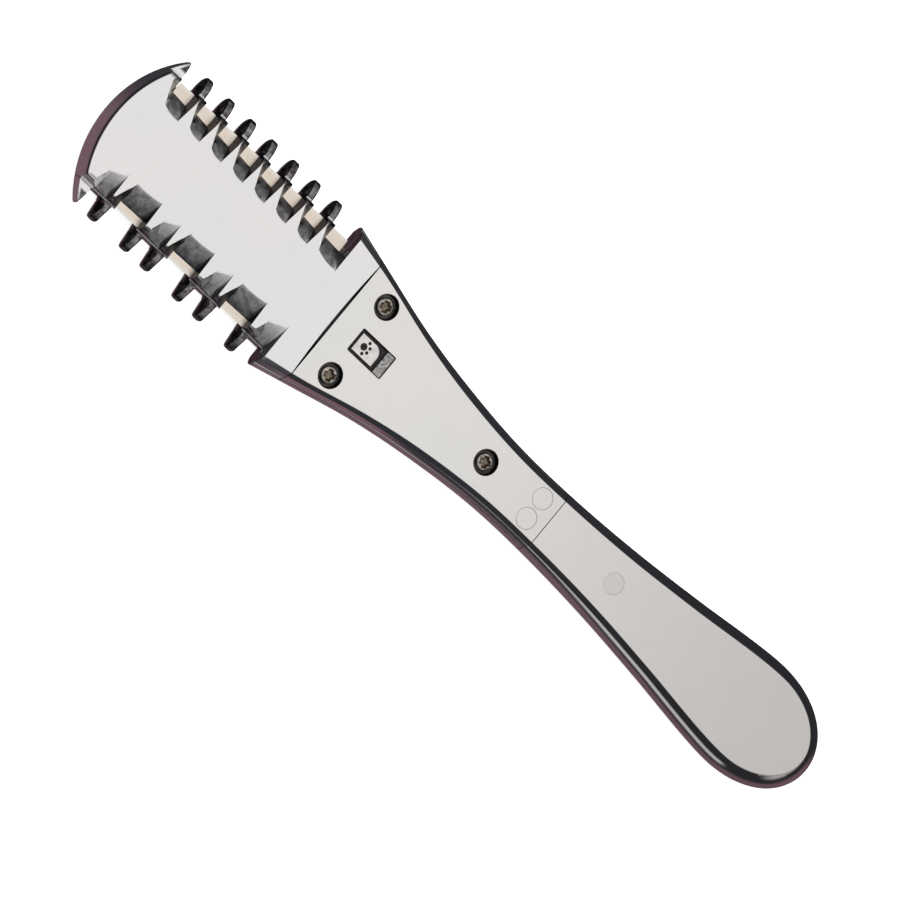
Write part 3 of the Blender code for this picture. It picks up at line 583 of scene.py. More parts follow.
def build_back_comb(material):
    bm = bmesh.new()
    levels = wall_levels(0.0, BACK_TOP, 0.0, EDGE_BREAK)
    add_loft(bm, [head_ring(z, max(share, CHAMFER_SHARE), TIP_Y) for z, share in levels])
    comb = make_mesh_object("back_comb_plate", bm)
    steps = []
    for k, gap in enumerate(fine_gaps()):
        steps.append((back_gap_object(f"fine_gap_{k}", 1, gap, BACK_GAP_ROOT_Y), "DIFFERENCE"))
    for k, gap in enumerate(coarse_gaps()):
        root = BACK_GAP_ROOT_Y if k % 2 else CLOSED_GAP_ROOT_Y
        steps.append((back_gap_object(f"coarse_gap_{k}", -1, gap, root), "DIFFERENCE"))
    steps.append((back_nose_object(), "DIFFERENCE"))
    steps.append((lip_recess_object(), "DIFFERENCE"))
    tongue = bmesh.new()
    add_box(tongue, (27.0 * MM, -4.5 * MM, 1.70 * MM), (37.5 * MM, 4.5 * MM, 2.70 * MM))
    steps.append((make_mesh_object("back_tongue", tongue), "UNION"))
    hole = bmesh.new()
    add_cylinder(hole, 33.6 * MM, 0.0, 1.55 * MM, 0.0, TOP)
    steps.append((make_mesh_object("locating_hole", hole), "DIFFERENCE"))
    combine(comb, steps)
    smooth(comb)
    install(comb, "head_back_comb", material)


# ---------------------------------------------------------------- blade

def blade_ring(z, inset):
    half_length = (BLADE_HIGH.x - BLADE_LOW.x) / 2
    half_width_y = BLADE_HIGH.y - inset
    centre_x = (BLADE_HIGH.x + BLADE_LOW.x) / 2
    notch_x, notch_y = half_length - 1.6 * MM, BLADE_HIGH.y - 3.2 * MM
    quarter = [(notch_x, half_width_y), (notch_x, notch_y), (half_length, notch_y)]
    half = quarter + [(x, -y) for x, y in reversed(quarter)]
    outline = half + [(-x, -y) for x, y in half]
    return [(centre_x + x, y, z) for x, y in outline]


def build_blade(material):
    low, top = BLADE_LOW.z, BLADE_HIGH.z
    middle = (low + top) / 2
    bm = bmesh.new()
    levels = ((low, 0.55 * MM), (middle - 0.004 * MM, 0.0), (middle + 0.004 * MM, 0.0), (top, 0.55 * MM))
    add_loft(bm, [blade_ring(z, inset) for z, inset in levels])
    blade = make_mesh_object("razor_blade", bm)
    centre_x = (BLADE_HIGH.x + BLADE_LOW.x) / 2
    slot = bmesh.new()
    add_box(slot, (centre_x - 14.8 * MM, -0.9 * MM, low - CUT), (centre_x + 14.8 * MM, 0.9 * MM, top + CUT))
    holes = bmesh.new()
    for side in (-1, 1):
        add_cylinder(holes, centre_x + side * 14.8 * MM, 0.0, 2.0 * MM, low - CUT, top + CUT)
    combine(blade, [(make_mesh_object("slot", slot), "DIFFERENCE"), (make_mesh_object("holes", holes), "DIFFERENCE")])
    smooth(blade, 2.0)
    install(blade, "double_edge_blade", material)


# ---------------------------------------------------------------- neck and grip

def screw_sites():
    """(name, x, y) of each screw, from the frame."""
    sites = []
    for name in ("left", "right", "rear"):
        low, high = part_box("cover_screw_" + name)
        sites.append((name, (low.x + high.x) / 2, (low.y + high.y) / 2))
    return sites


def pin_site(node):
    low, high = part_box(node)
    return (low.x + high.x) / 2, (low.y + high.y) / 2


def counterbore_object():
    """Counterbores with a broken top edge, and the screw holes under them."""
    bm = bmesh.new()
    for _, x, y in screw_sites():
        flat = COUNTERBORE_RADIUS + 0.10 * MM
        profile = (
            (0.0, TOP + CUT),
            (flat + CUT, TOP + CUT),
            (flat, TOP),
            (COUNTERBORE_RADIUS + 0.03 * MM, TOP - 0.05 * MM),
            (COUNTERBORE_RADIUS, TOP - 0.12 * MM),
            (COUNTERBORE_RADIUS, COUNTERBORE_FLOOR),
            (0.95 * MM, COUNTERBORE_FLOOR),
            (0.95 * MM, COVER_LOW - CUT),
            (0.0, COVER_LOW - CUT),
        )
        add_turned(bm, profile, x, y)
    return make_mesh_object("counterbores", bm)


def pin_holes_object(nodes, low, gap=PIN_GAP):
    bm = bmesh.new()
    for node in nodes:
        x, y = pin_site(node)
        radius = PIN_RADIUS + gap
        profile = (
            (0.0, TOP + CUT),
            (radius + gap + CUT, TOP + CUT),
            (radius + gap, TOP),
            (radius, TOP - gap),
            (radius, low),
            (0.0, low),
        )
        add_turned(bm, profile, x, y)
    return make_mesh_object("pin_holes", bm)


BADGE_X = 38.0 * MM
BADGE_HALF_LENGTH = 3.8 * MM
BADGE_HALF_WIDTH = 2.2 * MM
BADGE_FLOOR = 4.10 * MM
BADGE_CORNER = 0.25 * MM


def rounded_rectangle(centre_x, half_x, half_y, radius, steps=6):
    points = []
    for quarter, (sx, sy) in enumerate(((1, 1), (-1, 1), (-1, -1), (1, -1))):
        for i in range(steps + 1):
            angle = math.pi / 2 * (quarter + i / steps)
            x = centre_x + sx * (half_x - radius) + radius * math.cos(angle)
            y = sy * (half_y - radius) + radius * math.sin(angle)
            points.append((x, y))
    return points


def badge_recess_object():
    bm = bmesh.new()
    rings = []
    for z, grow in ((BADGE_FLOOR, 0.0), (TOP - 0.08 * MM, 0.0), (TOP, 0.06 * MM), (TOP + CUT, 0.06 * MM + CUT)):
        outline = rounded_rectangle(
            BADGE_X, BADGE_HALF_LENGTH + grow, BADGE_HALF_WIDTH + grow, BADGE_CORNER + grow
        )
        rings.append(ring(outline, z))
    add_loft(bm, rings)
    return make_mesh_object("badge_recess", bm)


def neck_ring(z, share):
    edge = side_points(NECK_FRONT_X, NECK_REAR_X, share)
    return ring(mirrored(edge) + edge, z)


def tongue_pocket_object(name, low, high):
    bm = bmesh.new()
    add_box(bm, (NECK_FRONT_X - CUT, -4.6 * MM, low), (37.6 * MM, 4.6 * MM, high))
    return make_mesh_object(name, bm)


def build_front_cover(material, recess_shade_material):
    bm = bmesh.new()
    add_loft(bm, [neck_ring(z, share) for z, share in face_levels(COVER_LOW, EDGE_BREAK)])
    cover = make_mesh_object("neck_front_shell", bm)
    pins = pin_holes_object(("neck_pin_left", "neck_pin_right"), COVER_LOW - CUT)
    pocket = tongue_pocket_object("cover_pocket", COVER_LOW - CUT, 3.58 * MM)
    combine(cover, [
        (counterbore_object(), "DIFFERENCE"),
        (pins, "DIFFERENCE"),
        (badge_recess_object(), "DIFFERENCE"),
        (pocket, "DIFFERENCE"),
    ])
    smooth(cover)
    install(cover, "neck_front_cover", material)
    # Second slot: near-black painted shade for the counterbores and the badge recess.
    cover.data.materials.append(recess_shade_material)
    darken_recesses(cover)


def darken_recesses(cover):
    """Painted shade: the counterbores and the badge recess get a near-black material standing for the shade and dark
    reflections deep in them.
    """
    for face in cover.data.polygons:
        x, y, z = face.center
        if z > TOP - 0.06 * MM or z < COUNTERBORE_FLOOR - 0.01 * MM:
            continue
        in_badge = abs(x - BADGE_X) < BADGE_HALF_LENGTH + 0.03 * MM and abs(y) < BADGE_HALF_WIDTH + 0.03 * MM
        in_bore = any(
            math.hypot(x - sx, y - sy) < COUNTERBORE_RADIUS + 0.03 * MM for _, sx, sy in screw_sites()
        )
        if in_badge or in_bore:
            face.material_index = 1


def build_back_cover(material):
    bm = bmesh.new()
    add_loft(bm, [neck_ring(z, share) for z, share in wall_levels(0.0, BACK_TOP, 0.0, SEAM_BREAK)])
    cover = make_mesh_object("neck_back_shell", bm)
    above = BACK_TOP + CUT
    boss = bmesh.new()
    add_cylinder(boss, 33.6 * MM, 0.0, 1.5 * MM, 0.8 * MM, 2.70 * MM)
    inserts = bmesh.new()
    for _, x, y in screw_sites():
        add_cylinder(inserts, x, y, 1.50 * MM, 0.80 * MM, above)
    slot = bmesh.new()
    add_box(slot, (68.4 * MM, -4.4 * MM, 1.10 * MM), (NECK_REAR_X + CUT, 4.4 * MM, above))
    combine(cover, [
        (tongue_pocket_object("back_pocket", 1.60 * MM, above), "DIFFERENCE"),
        (make_mesh_object("boss", boss), "UNION"),
        (make_mesh_object("insert_pockets", inserts), "DIFFERENCE"),
        (make_mesh_object("tang_slot", slot), "DIFFERENCE"),
        (pin_holes_object(("neck_pin_left", "neck_pin_right"), 0.65 * MM), "DIFFERENCE"),
    ])
    smooth(cover)
    install(cover, "neck_back_cover", material)


def grip_ring(z, share):
    start_x = STATIONS[-1][0]
    edge = side_points(GRIP_FRONT_X, start_x, share)
    reach = GRIP_END_X - start_x
    half, flare = STATIONS[-1][1:]
    for i in range(1, GRIP_END_STEPS):
        angle = math.pi / 2 * i / GRIP_END_STEPS
        normal = Vector((half * math.sin(angle), reach * math.cos(angle))).normalized()
        out = share * flare * (1 + GRIP_END_GAIN * math.sin(angle) ** 2)
        x = start_x + reach * math.sin(angle) + normal.x * out
        edge.append((x, half * math.cos(angle) + normal.y * out))
    end = (GRIP_END_X + share * flare * (1 + GRIP_END_GAIN), 0.0)
    return ring(edge + [end] + mirrored(edge), z)


def build_grip(material):
    bm = bmesh.new()
    add_loft(bm, [grip_ring(z, share) for z, share in face_levels(0.0)])
    grip = make_mesh_object("paddle_grip", bm)
    slot = bmesh.new()
    add_box(slot, (GRIP_FRONT_X - CUT, -4.4 * MM, 1.10 * MM), (104.1 * MM, 4.4 * MM, 2.50 * MM))
    combine(grip, [
        (make_mesh_object("grip_slot", slot), "DIFFERENCE"),
        (pin_holes_object(("grip_pin",), 0.65 * MM, GRIP_PIN_GAP), "DIFFERENCE"),
    ])
    smooth(grip)
    install(grip, "grip_body", material)


def build_pin(node, material, gap):
    x, y = pin_site(node)
    low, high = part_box(node)
    profile = (
        (0.0, high.z),
        (PIN_RADIUS - gap, high.z),
        (PIN_RADIUS, high.z - gap),
        (PIN_RADIUS, low.z + gap),
        (PIN_RADIUS - gap, low.z),
        (0.0, low.z),
    )
    bm = bmesh.new()
    add_turned(bm, profile, x, y)
    pin = make_mesh_object(node + "_turned", bm)
    smooth(pin)
    install(pin, node, material)


# ---------------------------------------------------------------- screws and badge

def build_screw(name, x, y, material, cross_recess_shade_material):
    low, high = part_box("cover_screw_" + name)
    radius = (high.x - low.x) / 2
    head_low = high.z - 0.61 * MM
    profile = [(0.0, high.z)]
    for i in range(1, 9):
        angle = math.pi / 2 * i / 8
        profile.append((radius * (0.62 + 0.38 * math.sin(angle)), high.z - 0.30 * MM * (1 - math.cos(angle))))
    profile += [(radius, head_low), (0.8 * MM, head_low)]
    profile += thread_profile(head_low, low.z)
    bm = bmesh.new()
    add_turned(bm, profile, x, y)
    screw = make_mesh_object("pan_screw_" + name, bm)
    combine(screw, [(cross_object(x, y, high.z), "DIFFERENCE")])
    smooth(screw, 25.0)
    install(screw, "cover_screw_" + name, material)
    screw.data.materials.append(cross_recess_shade_material)
    # Faces inside the cross recess get the darker recess material: painted shade.
    for face in screw.data.polygons:
        fx, fy, fz = face.center
        if math.hypot(fx - x, fy - y) < 0.72 * radius and fz > head_low and (fz < high.z - 0.02 * MM):
            face.material_index = 1


def thread_profile(top, bottom):
    """Saw-tooth flank of the thread, kept inside the plain shank of the frame."""
    pitch, major, minor = 0.35 * MM, 0.80 * MM, 0.64 * MM
    points = []
    z = top - 0.3 * MM
    while z > bottom + 1.5 * pitch:
        points += [(major, z), (minor, z - pitch / 2)]
        z -= pitch
    points += [(major - 0.1 * MM, bottom + 0.5 * pitch), (minor - 0.1 * MM, bottom), (0.0, bottom)]
    return points


def cross_object(x, y, top):
    """Cross recess whose arms narrow towards the bottom."""
    bm = bmesh.new()
    rings = []
    for z, length, width in ((top - 0.50 * MM, 0.62, 0.24), (top - 0.04 * MM, 1.02, 0.42), (top + CUT, 1.10, 0.46)):
        quarter = [(length * MM, width * MM), (width * 1.25 * MM, width * 1.25 * MM), (width * MM, length * MM)]
        outline = list(quarter)
        for _ in range(3):
            quarter = [(-b, a) for a, b in quarter]
            outline += quarter
        turned = [(x + a * 0.94 - b * 0.34, y + a * 0.34 + b * 0.94) for a, b in outline]
        rings.append(ring(turned, z))
    add_loft(bm, rings)
    return make_mesh_object("cross_recess", bm)


def build_washer(name, x, y, material):
    low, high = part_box("screw_washer_" + name)
    outer = (high.x - low.x) / 2
    inner, rim = 0.9 * MM, 0.03 * MM
    profile = (
        (outer - rim, high.z), (outer, high.z - rim), (outer, low.z + rim), (outer - rim, low.z),
        (inner, low.z), (inner, high.z),
    )
    bm = bmesh.new()
    add_turned(bm, profile, x, y, closed=True)
    washer = make_mesh_object("flat_washer_" + name, bm)
    smooth(washer)
    install(washer, "screw_washer_" + name, material)


BADGE_FIELD_LENGTH = 4.6 * MM
BADGE_FIELD_INSET = 0.42 * MM
BADGE_FIELD_ROUND = 1.6 * MM
BADGE_STRIP_LENGTH = 1.55 * MM
BADGE_PLATE_TOP = 4.32 * MM
BADGE_BREAK = 0.06 * MM
PAW_OFFSET = 1.75 * MM
PAW_DEPTH = 0.16 * MM


def field_outline(low, high, inset):
    """Raised field of the badge: a rectangle with one large rounded corner."""
    start = low.x + BADGE_FIELD_INSET + inset
    end = low.x + BADGE_FIELD_INSET + BADGE_FIELD_LENGTH - inset
    half = high.y - BADGE_FIELD_INSET - inset
    outline = [(start, half), (start, -half), (end, -half)]
    for i in range(13):
        angle = math.pi / 2 * i / 12
        x = end - BADGE_FIELD_ROUND * (1 - math.cos(angle))
        outline.append((x, half - BADGE_FIELD_ROUND * (1 - math.sin(angle))))
    return outline


def build_badge(material, ground_material, strip_material):
    low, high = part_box("badge_plate")
    bm = bmesh.new()
    add_prism(bm, rounded_rectangle(BADGE_X, (high.x - low.x) / 2, high.y, 0.2 * MM), low.z, BADGE_PLATE_TOP)
    plate = make_mesh_object("paw_badge", bm)
    field = bmesh.new()
    levels = ((low.z + 0.1 * MM, 0.0), (high.z - BADGE_BREAK, 0.0), (high.z, BADGE_BREAK))
    add_loft(field, [ring(field_outline(low, high, inset), z) for z, inset in levels])
    strip = bmesh.new()
    strip_low = (high.x - BADGE_STRIP_LENGTH, low.y + 0.02 * MM, low.z + 0.1 * MM)
    add_box(strip, strip_low, (high.x - 0.02 * MM, high.y - 0.02 * MM, high.z))
    steps = [(make_mesh_object("field", field), "UNION"), (make_mesh_object("strip", strip), "UNION")]
    pad_x = BADGE_X - PAW_OFFSET
    pads = [(pad_x, 0.0, 0.62 * MM)]
    for degrees in (-66.0, -22.0, 22.0, 66.0):
        angle = math.radians(degrees)
        pads.append((pad_x + 1.15 * MM * math.cos(angle), 1.15 * MM * math.sin(angle), 0.28 * MM))
    for k, (x, y, radius) in enumerate(pads):
        pad = bmesh.new()
        add_cylinder(pad, x, y, radius, high.z - PAW_DEPTH, TOP)
        steps.append((make_mesh_object(f"paw_{k}", pad), "DIFFERENCE"))
    combine(plate, steps)
    smooth(plate, 25.0)
    install(plate, "badge_plate", material)
    plate.data.materials.append(ground_material)
    plate.data.materials.append(strip_material)
    for face in plate.data.polygons:
        if face.center.x > high.x - BADGE_STRIP_LENGTH - 0.01 * MM and face.center.z > high.z - 0.01 * MM:
            face.material_index = 2
        elif face.center.z < high.z - BADGE_BREAK:
            face.material_index = 1


# ---------------------------------------------------------------- materials

class Nodes:
    """Small helper to write node trees as expressions."""

    def __init__(self, tree):
        self.tree = tree

    def new(self, kind, settings=(), inputs=()):
        node = self.tree.nodes.new(kind)
        for key, value in dict(settings).items():
            setattr(node, key, value)
        for key, value in dict(inputs).items():
            self.feed(node.inputs[key], value)
        return node

    def feed(self, socket, value):
        if isinstance(value, bpy.types.NodeSocket):
            self.tree.links.new(value, socket)
        else:
            socket.default_value = value

    def math(self, operation, a, b=0.0, c=0.0):
        node = self.new("ShaderNodeMath", {"operation": operation})
        for socket, value in zip(node.inputs, (a, b, c)):
            self.feed(socket, value)
        return node.outputs[0]

    def ramp(self, value, start, end, low=0.0, high=1.0):
        """Smooth step of a value from low at start to high at end."""
        node = self.new("ShaderNodeMapRange", {"interpolation_type": "SMOOTHSTEP"})
        for socket, given in zip(node.inputs, (value, start, end, low, high)):
            self.feed(socket, given)
        return node.outputs[0]

    def mix(self, factor, a, b):
        node = self.new("ShaderNodeMix", {"data_type": "RGBA"})
        self.feed(node.inputs[0], factor)
        self.feed(node.inputs[6], a)
        self.feed(node.inputs[7], b)
        return node.outputs[2]

    def noise(self, vector, scale, detail=3.0, rough=0.5):
        node = self.new("ShaderNodeTexNoise", inputs={"Scale": scale, "Detail": detail, "Roughness": rough})
        self.feed(node.inputs["Vector"], vector)
        return node.outputs["Fac"]

    def stretched(self, vector, scale):
        node = self.new("ShaderNodeMapping", inputs={"Scale": scale})
        self.feed(node.inputs["Vector"], vector)
        return node.outputs[0]


def rgb(red, green, blue):
    return (red, green, blue, 1.0)


def tinted(tint, red, green, blue):
    return rgb(red * tint[0], green * tint[1], blue * tint[2])


def new_material(name):
    material = bpy.data.materials.new(name)
    material.use_nodes = True
    nodes = Nodes(material.node_tree)
    shader = material.node_tree.nodes["Principled BSDF"]
    return material, nodes, shader


# Strengths of the painted shade on the head's slopes, front flanks, rear walls and valleys, and how much darker the
# handle grows towards the grip end.
SLOPE_SHADE = 0.80
FLANK_SHADE = 0.74
REAR_WALL_SHADE = 0.97
VALLEY_SHADE = 0.95
GRIP_END_DARKENING = 0.31


def make_satin_chrome(name, roughness, tint, painted_shade_mask, wall_roughness):
    """Satin plating: fine brushing, faint warm and cool clouds, polished walls, and painted shade: the given mask and
    ambient occlusion darken the colour in corners and recesses.
    """
    material, nodes, shader = new_material(name)
    place = nodes.new("ShaderNodeTexCoord").outputs["Object"]
    lines = nodes.noise(nodes.stretched(place, (900.0, 24000.0, 24000.0)), 1.0, 4.0, 0.62)
    cloud = nodes.noise(place, 55.0, 3.0, 0.5)
    patch = nodes.noise(place, 210.0, 4.0, 0.6)
    grain = nodes.noise(place, 5200.0, 2.0, 0.5)

    warm, cool = tinted(tint, 0.802, 0.784, 0.774), tinted(tint, 0.780, 0.788, 0.781)
    base = nodes.mix(nodes.ramp(cloud, 0.35, 0.65), warm, cool)
    base = nodes.mix(nodes.ramp(patch, 0.30, 0.75, 0.0, 0.12), base, tinted(tint, 0.70, 0.665, 0.66))
    base = nodes.mix(nodes.ramp(lines, 0.35, 0.70, 0.0, 0.14), base, tinted(tint, 0.60, 0.585, 0.58))
    # Painted shade: the given mask pulls the colour towards near black.
    base = nodes.mix(painted_shade_mask(nodes, place), base, rgb(0.06, 0.052, 0.058))
    # Painted shade: ambient occlusion darkens tight corners towards near black.
    corner = nodes.new("ShaderNodeAmbientOcclusion", {"samples": 6}, {"Distance": 0.9 * MM}).outputs["AO"]
    base = nodes.mix(nodes.ramp(corner, 0.25, 0.85, 0.92, 0.0), base, rgb(0.03, 0.026, 0.028))
    nodes.feed(shader.inputs["Base Color"], base)
    shader.inputs["Metallic"].default_value = 1.0
    satin = nodes.ramp(lines, 0.25, 0.75, roughness - 0.03, roughness + 0.05)
    normal = nodes.new("ShaderNodeNewGeometry").outputs["Normal"]
    upright = nodes.new("ShaderNodeSeparateXYZ", inputs={"Vector": normal}).outputs["Z"]
    polished = nodes.ramp(nodes.math("ABSOLUTE", upright), 0.97, 0.85)
    rough = nodes.math("MULTIPLY_ADD", polished, nodes.math("SUBTRACT", wall_roughness, satin), satin)
    nodes.feed(shader.inputs["Roughness"], rough)

    bevel = nodes.new("ShaderNodeBevel", {"samples": 6}, {"Radius": 0.07 * MM}).outputs["Normal"]
    height = nodes.math("ADD", nodes.math("MULTIPLY", lines, 0.6), nodes.math("MULTIPLY", grain, 0.4))
    bump = nodes.new("ShaderNodeBump", inputs={"Strength": 0.20, "Distance": 0.004 * MM})
    nodes.feed(bump.inputs["Height"], height)
    nodes.feed(bump.inputs["Normal"], bevel)
    nodes.feed(shader.inputs["Normal"], bump.outputs["Normal"])
    return material


def head_painted_shade(nodes, place):
    """Painted shade on the head: the colour goes towards near black in the valleys, on the slopes and steep flanks,
    and along the rim of the rounded end. None on the front face, the wall of the end, the flat roots of the back teeth
    and behind the teeth."""
    x, y, z = nodes.new("ShaderNodeSeparateXYZ", inputs={"Vector": place}).outputs
    normal = nodes.new("ShaderNodeNewGeometry").outputs["Normal"]
    lengthwise, _, upright = nodes.new("ShaderNodeSeparateXYZ", inputs={"Vector": normal}).outputs
    # Painted shade from the surface normal: tilted slopes and steep flanks darken.
    slope = nodes.ramp(upright, 0.996, 0.94, 0.0, SLOPE_SHADE)
    front_flank = nodes.ramp(lengthwise, 0.18, 0.45, 0.0, FLANK_SHADE)
    rear_wall = nodes.ramp(lengthwise, -0.18, -0.45, 0.0, REAR_WALL_SHADE)
    in_front_plate = nodes.ramp(z, BACK_TOP, PLATE_LOW, 0.72, 1.0)
    steep = nodes.math("MULTIPLY", nodes.math("MAXIMUM", front_flank, rear_wall), in_front_plate)
    # Painted shade from the depth below the face: deeper valley floors darken.
    deep = nodes.ramp(nodes.math("SUBTRACT", TOP, z), 0.55 * MM, 1.95 * MM, 0.0, VALLEY_SHADE)
    mottle = nodes.ramp(nodes.noise(place, 900.0, 4.0, 0.65), 0.30, 0.70, 1.10, 0.72)
    head_shade_mask = nodes.math("MAXIMUM", nodes.math("MULTIPLY", nodes.math("MAXIMUM", slope, deep), mottle), steep)

    across = nodes.math("ABSOLUTE", y)
    outer_root = nodes.ramp(across, ROOT_FLAT_Y, ROOT_FLAT_Y - 0.12 * MM)
    inner_root = nodes.ramp(y, FRONT_TOOTH_Y + 0.10 * MM, FRONT_TOOTH_Y + 0.20 * MM, 0.0, 0.7)
    root = nodes.math("MULTIPLY", inner_root, outer_root)
    level = nodes.ramp(z, BACK_TOP - 0.06 * MM, BACK_TOP - 0.02 * MM)
    clear = nodes.math("MULTIPLY", nodes.math("MULTIPLY", root, level), nodes.ramp(x, 22.0 * MM, 21.0 * MM))
    corner_x = nodes.ramp(x, CORNER_TOOTH_X + 0.10 * MM, CORNER_TOOTH_X)
    corner_y = nodes.ramp(y, 13.3 * MM, 12.7 * MM)
    clear = nodes.math("MAXIMUM", clear, nodes.math("MULTIPLY", nodes.math("MULTIPLY", corner_x, corner_y), level))
    behind = nodes.ramp(x, SHOULDER_X - 0.9 * MM, SHOULDER_X + 0.6 * MM)
    behind = nodes.math("MULTIPLY", behind, nodes.ramp(lengthwise, -0.50, -0.30))
    from_centre = nodes.math("SUBTRACT", x, END_ARC_X + END_ARC_RADIUS)
    squares = nodes.math("ADD", nodes.math("POWER", from_centre, 2.0), nodes.math("POWER", y, 2.0))
    radius = nodes.math("SQRT", squares)
    rim_start = END_ARC_RADIUS - END_EDGE_ROUND
    at_end = nodes.math(
        "MULTIPLY", nodes.ramp(radius, rim_start, rim_start + 0.12 * MM), nodes.ramp(x, -12.0 * MM, -14.0 * MM)
    )
    cleared = nodes.math("MAXIMUM", nodes.math("MAXIMUM", clear, behind), at_end)
    kept = nodes.math("MULTIPLY", head_shade_mask, nodes.math("SUBTRACT", 1.0, cleared))
    # Painted shade: a dark band along the rounded rim of the head's end.
    rim = nodes.math("MULTIPLY", at_end, nodes.ramp(z, TOP - END_EDGE_ROUND, TOP - 0.7 * END_EDGE_ROUND, 0.0, 0.97))
    return nodes.math("MAXIMUM", kept, rim)


def handle_shade_and_tone(nodes, place):
    """Slight painted shade on the lower part of the walls; the tone also deepens gently towards the end of the grip.
    """
    x, _, z = nodes.new("ShaderNodeSeparateXYZ", inputs={"Vector": place}).outputs
    # Painted shade: the lower part of the walls darkens a little.
    low_wall_shade = nodes.ramp(z, 2.0 * MM, 0.2 * MM, 0.0, 0.12)
    return nodes.math("MAXIMUM", low_wall_shade, nodes.ramp(x, 38.0 * MM, 150.0 * MM, 0.0, GRIP_END_DARKENING))


def make_plain_metal(name, light, dark, roughness, scale=900.0, bump_strength=0.3):
    """Machined metal with mottled colour, used for the small and the hidden pieces."""
    material, nodes, shader = new_material(name)
    place = nodes.new("ShaderNodeTexCoord").outputs["Object"]
    mottle = nodes.noise(place, scale, 4.0, 0.6)
    nodes.feed(shader.inputs["Base Color"], nodes.mix(nodes.ramp(mottle, 0.3, 0.7), rgb(*dark), rgb(*light)))
    shader.inputs["Metallic"].default_value = 1.0
    nodes.feed(shader.inputs["Roughness"], nodes.ramp(mottle, 0.2, 0.8, roughness - 0.05, roughness + 0.08))
    bevel = nodes.new("ShaderNodeBevel", {"samples": 6}, {"Radius": 0.04 * MM}).outputs["Normal"]
    bump = nodes.new("ShaderNodeBump", inputs={"Strength": bump_strength, "Distance": 0.01 * MM})
    nodes.feed(bump.inputs["Height"], nodes.noise(place, scale * 5, 3.0, 0.6))
    nodes.feed(bump.inputs["Normal"], bevel)
    nodes.feed(shader.inputs["Normal"], bump.outputs["Normal"])
    return material


def make_blade_steel():
    """Warm ground steel: cross grinding marks, and a paler ground band along each edge."""
    material, nodes, shader = new_material("ground_blade_steel")
    place = nodes.new("ShaderNodeTexCoord").outputs["Object"]
    across = nodes.new("ShaderNodeSeparateXYZ", inputs={"Vector": place}).outputs["Y"]
    distance = nodes.math("ABSOLUTE", across)
    marks = nodes.noise(nodes.stretched(place, (9000.0, 300.0, 300.0)), 1.0, 3.0, 0.6)
    specks = nodes.noise(place, 2600.0, 2.0, 0.5)
    base = nodes.mix(nodes.ramp(marks, 0.3, 0.7), rgb(0.79, 0.69, 0.59), rgb(0.86, 0.78, 0.69))
    base = nodes.mix(nodes.ramp(specks, 0.62, 0.72, 0.0, 0.35), base, rgb(0.45, 0.36, 0.28))
    edge = nodes.ramp(distance, BLADE_HIGH.y - 0.62 * MM, BLADE_HIGH.y - 0.50 * MM)
    base = nodes.mix(edge, base, rgb(0.84, 0.79, 0.72))
    nodes.feed(shader.inputs["Base Color"], base)
    shader.inputs["Metallic"].default_value = 1.0
    nodes.feed(shader.inputs["Roughness"], nodes.ramp(marks, 0.2, 0.8, 0.28, 0.40))
    bump = nodes.new("ShaderNodeBump", inputs={"Strength": 0.25, "Distance": 0.004 * MM})
    nodes.feed(bump.inputs["Height"], marks)
    nodes.feed(shader.inputs["Normal"], bump.outputs["Normal"])
    return material


# ---------------------------------------------------------------- studio

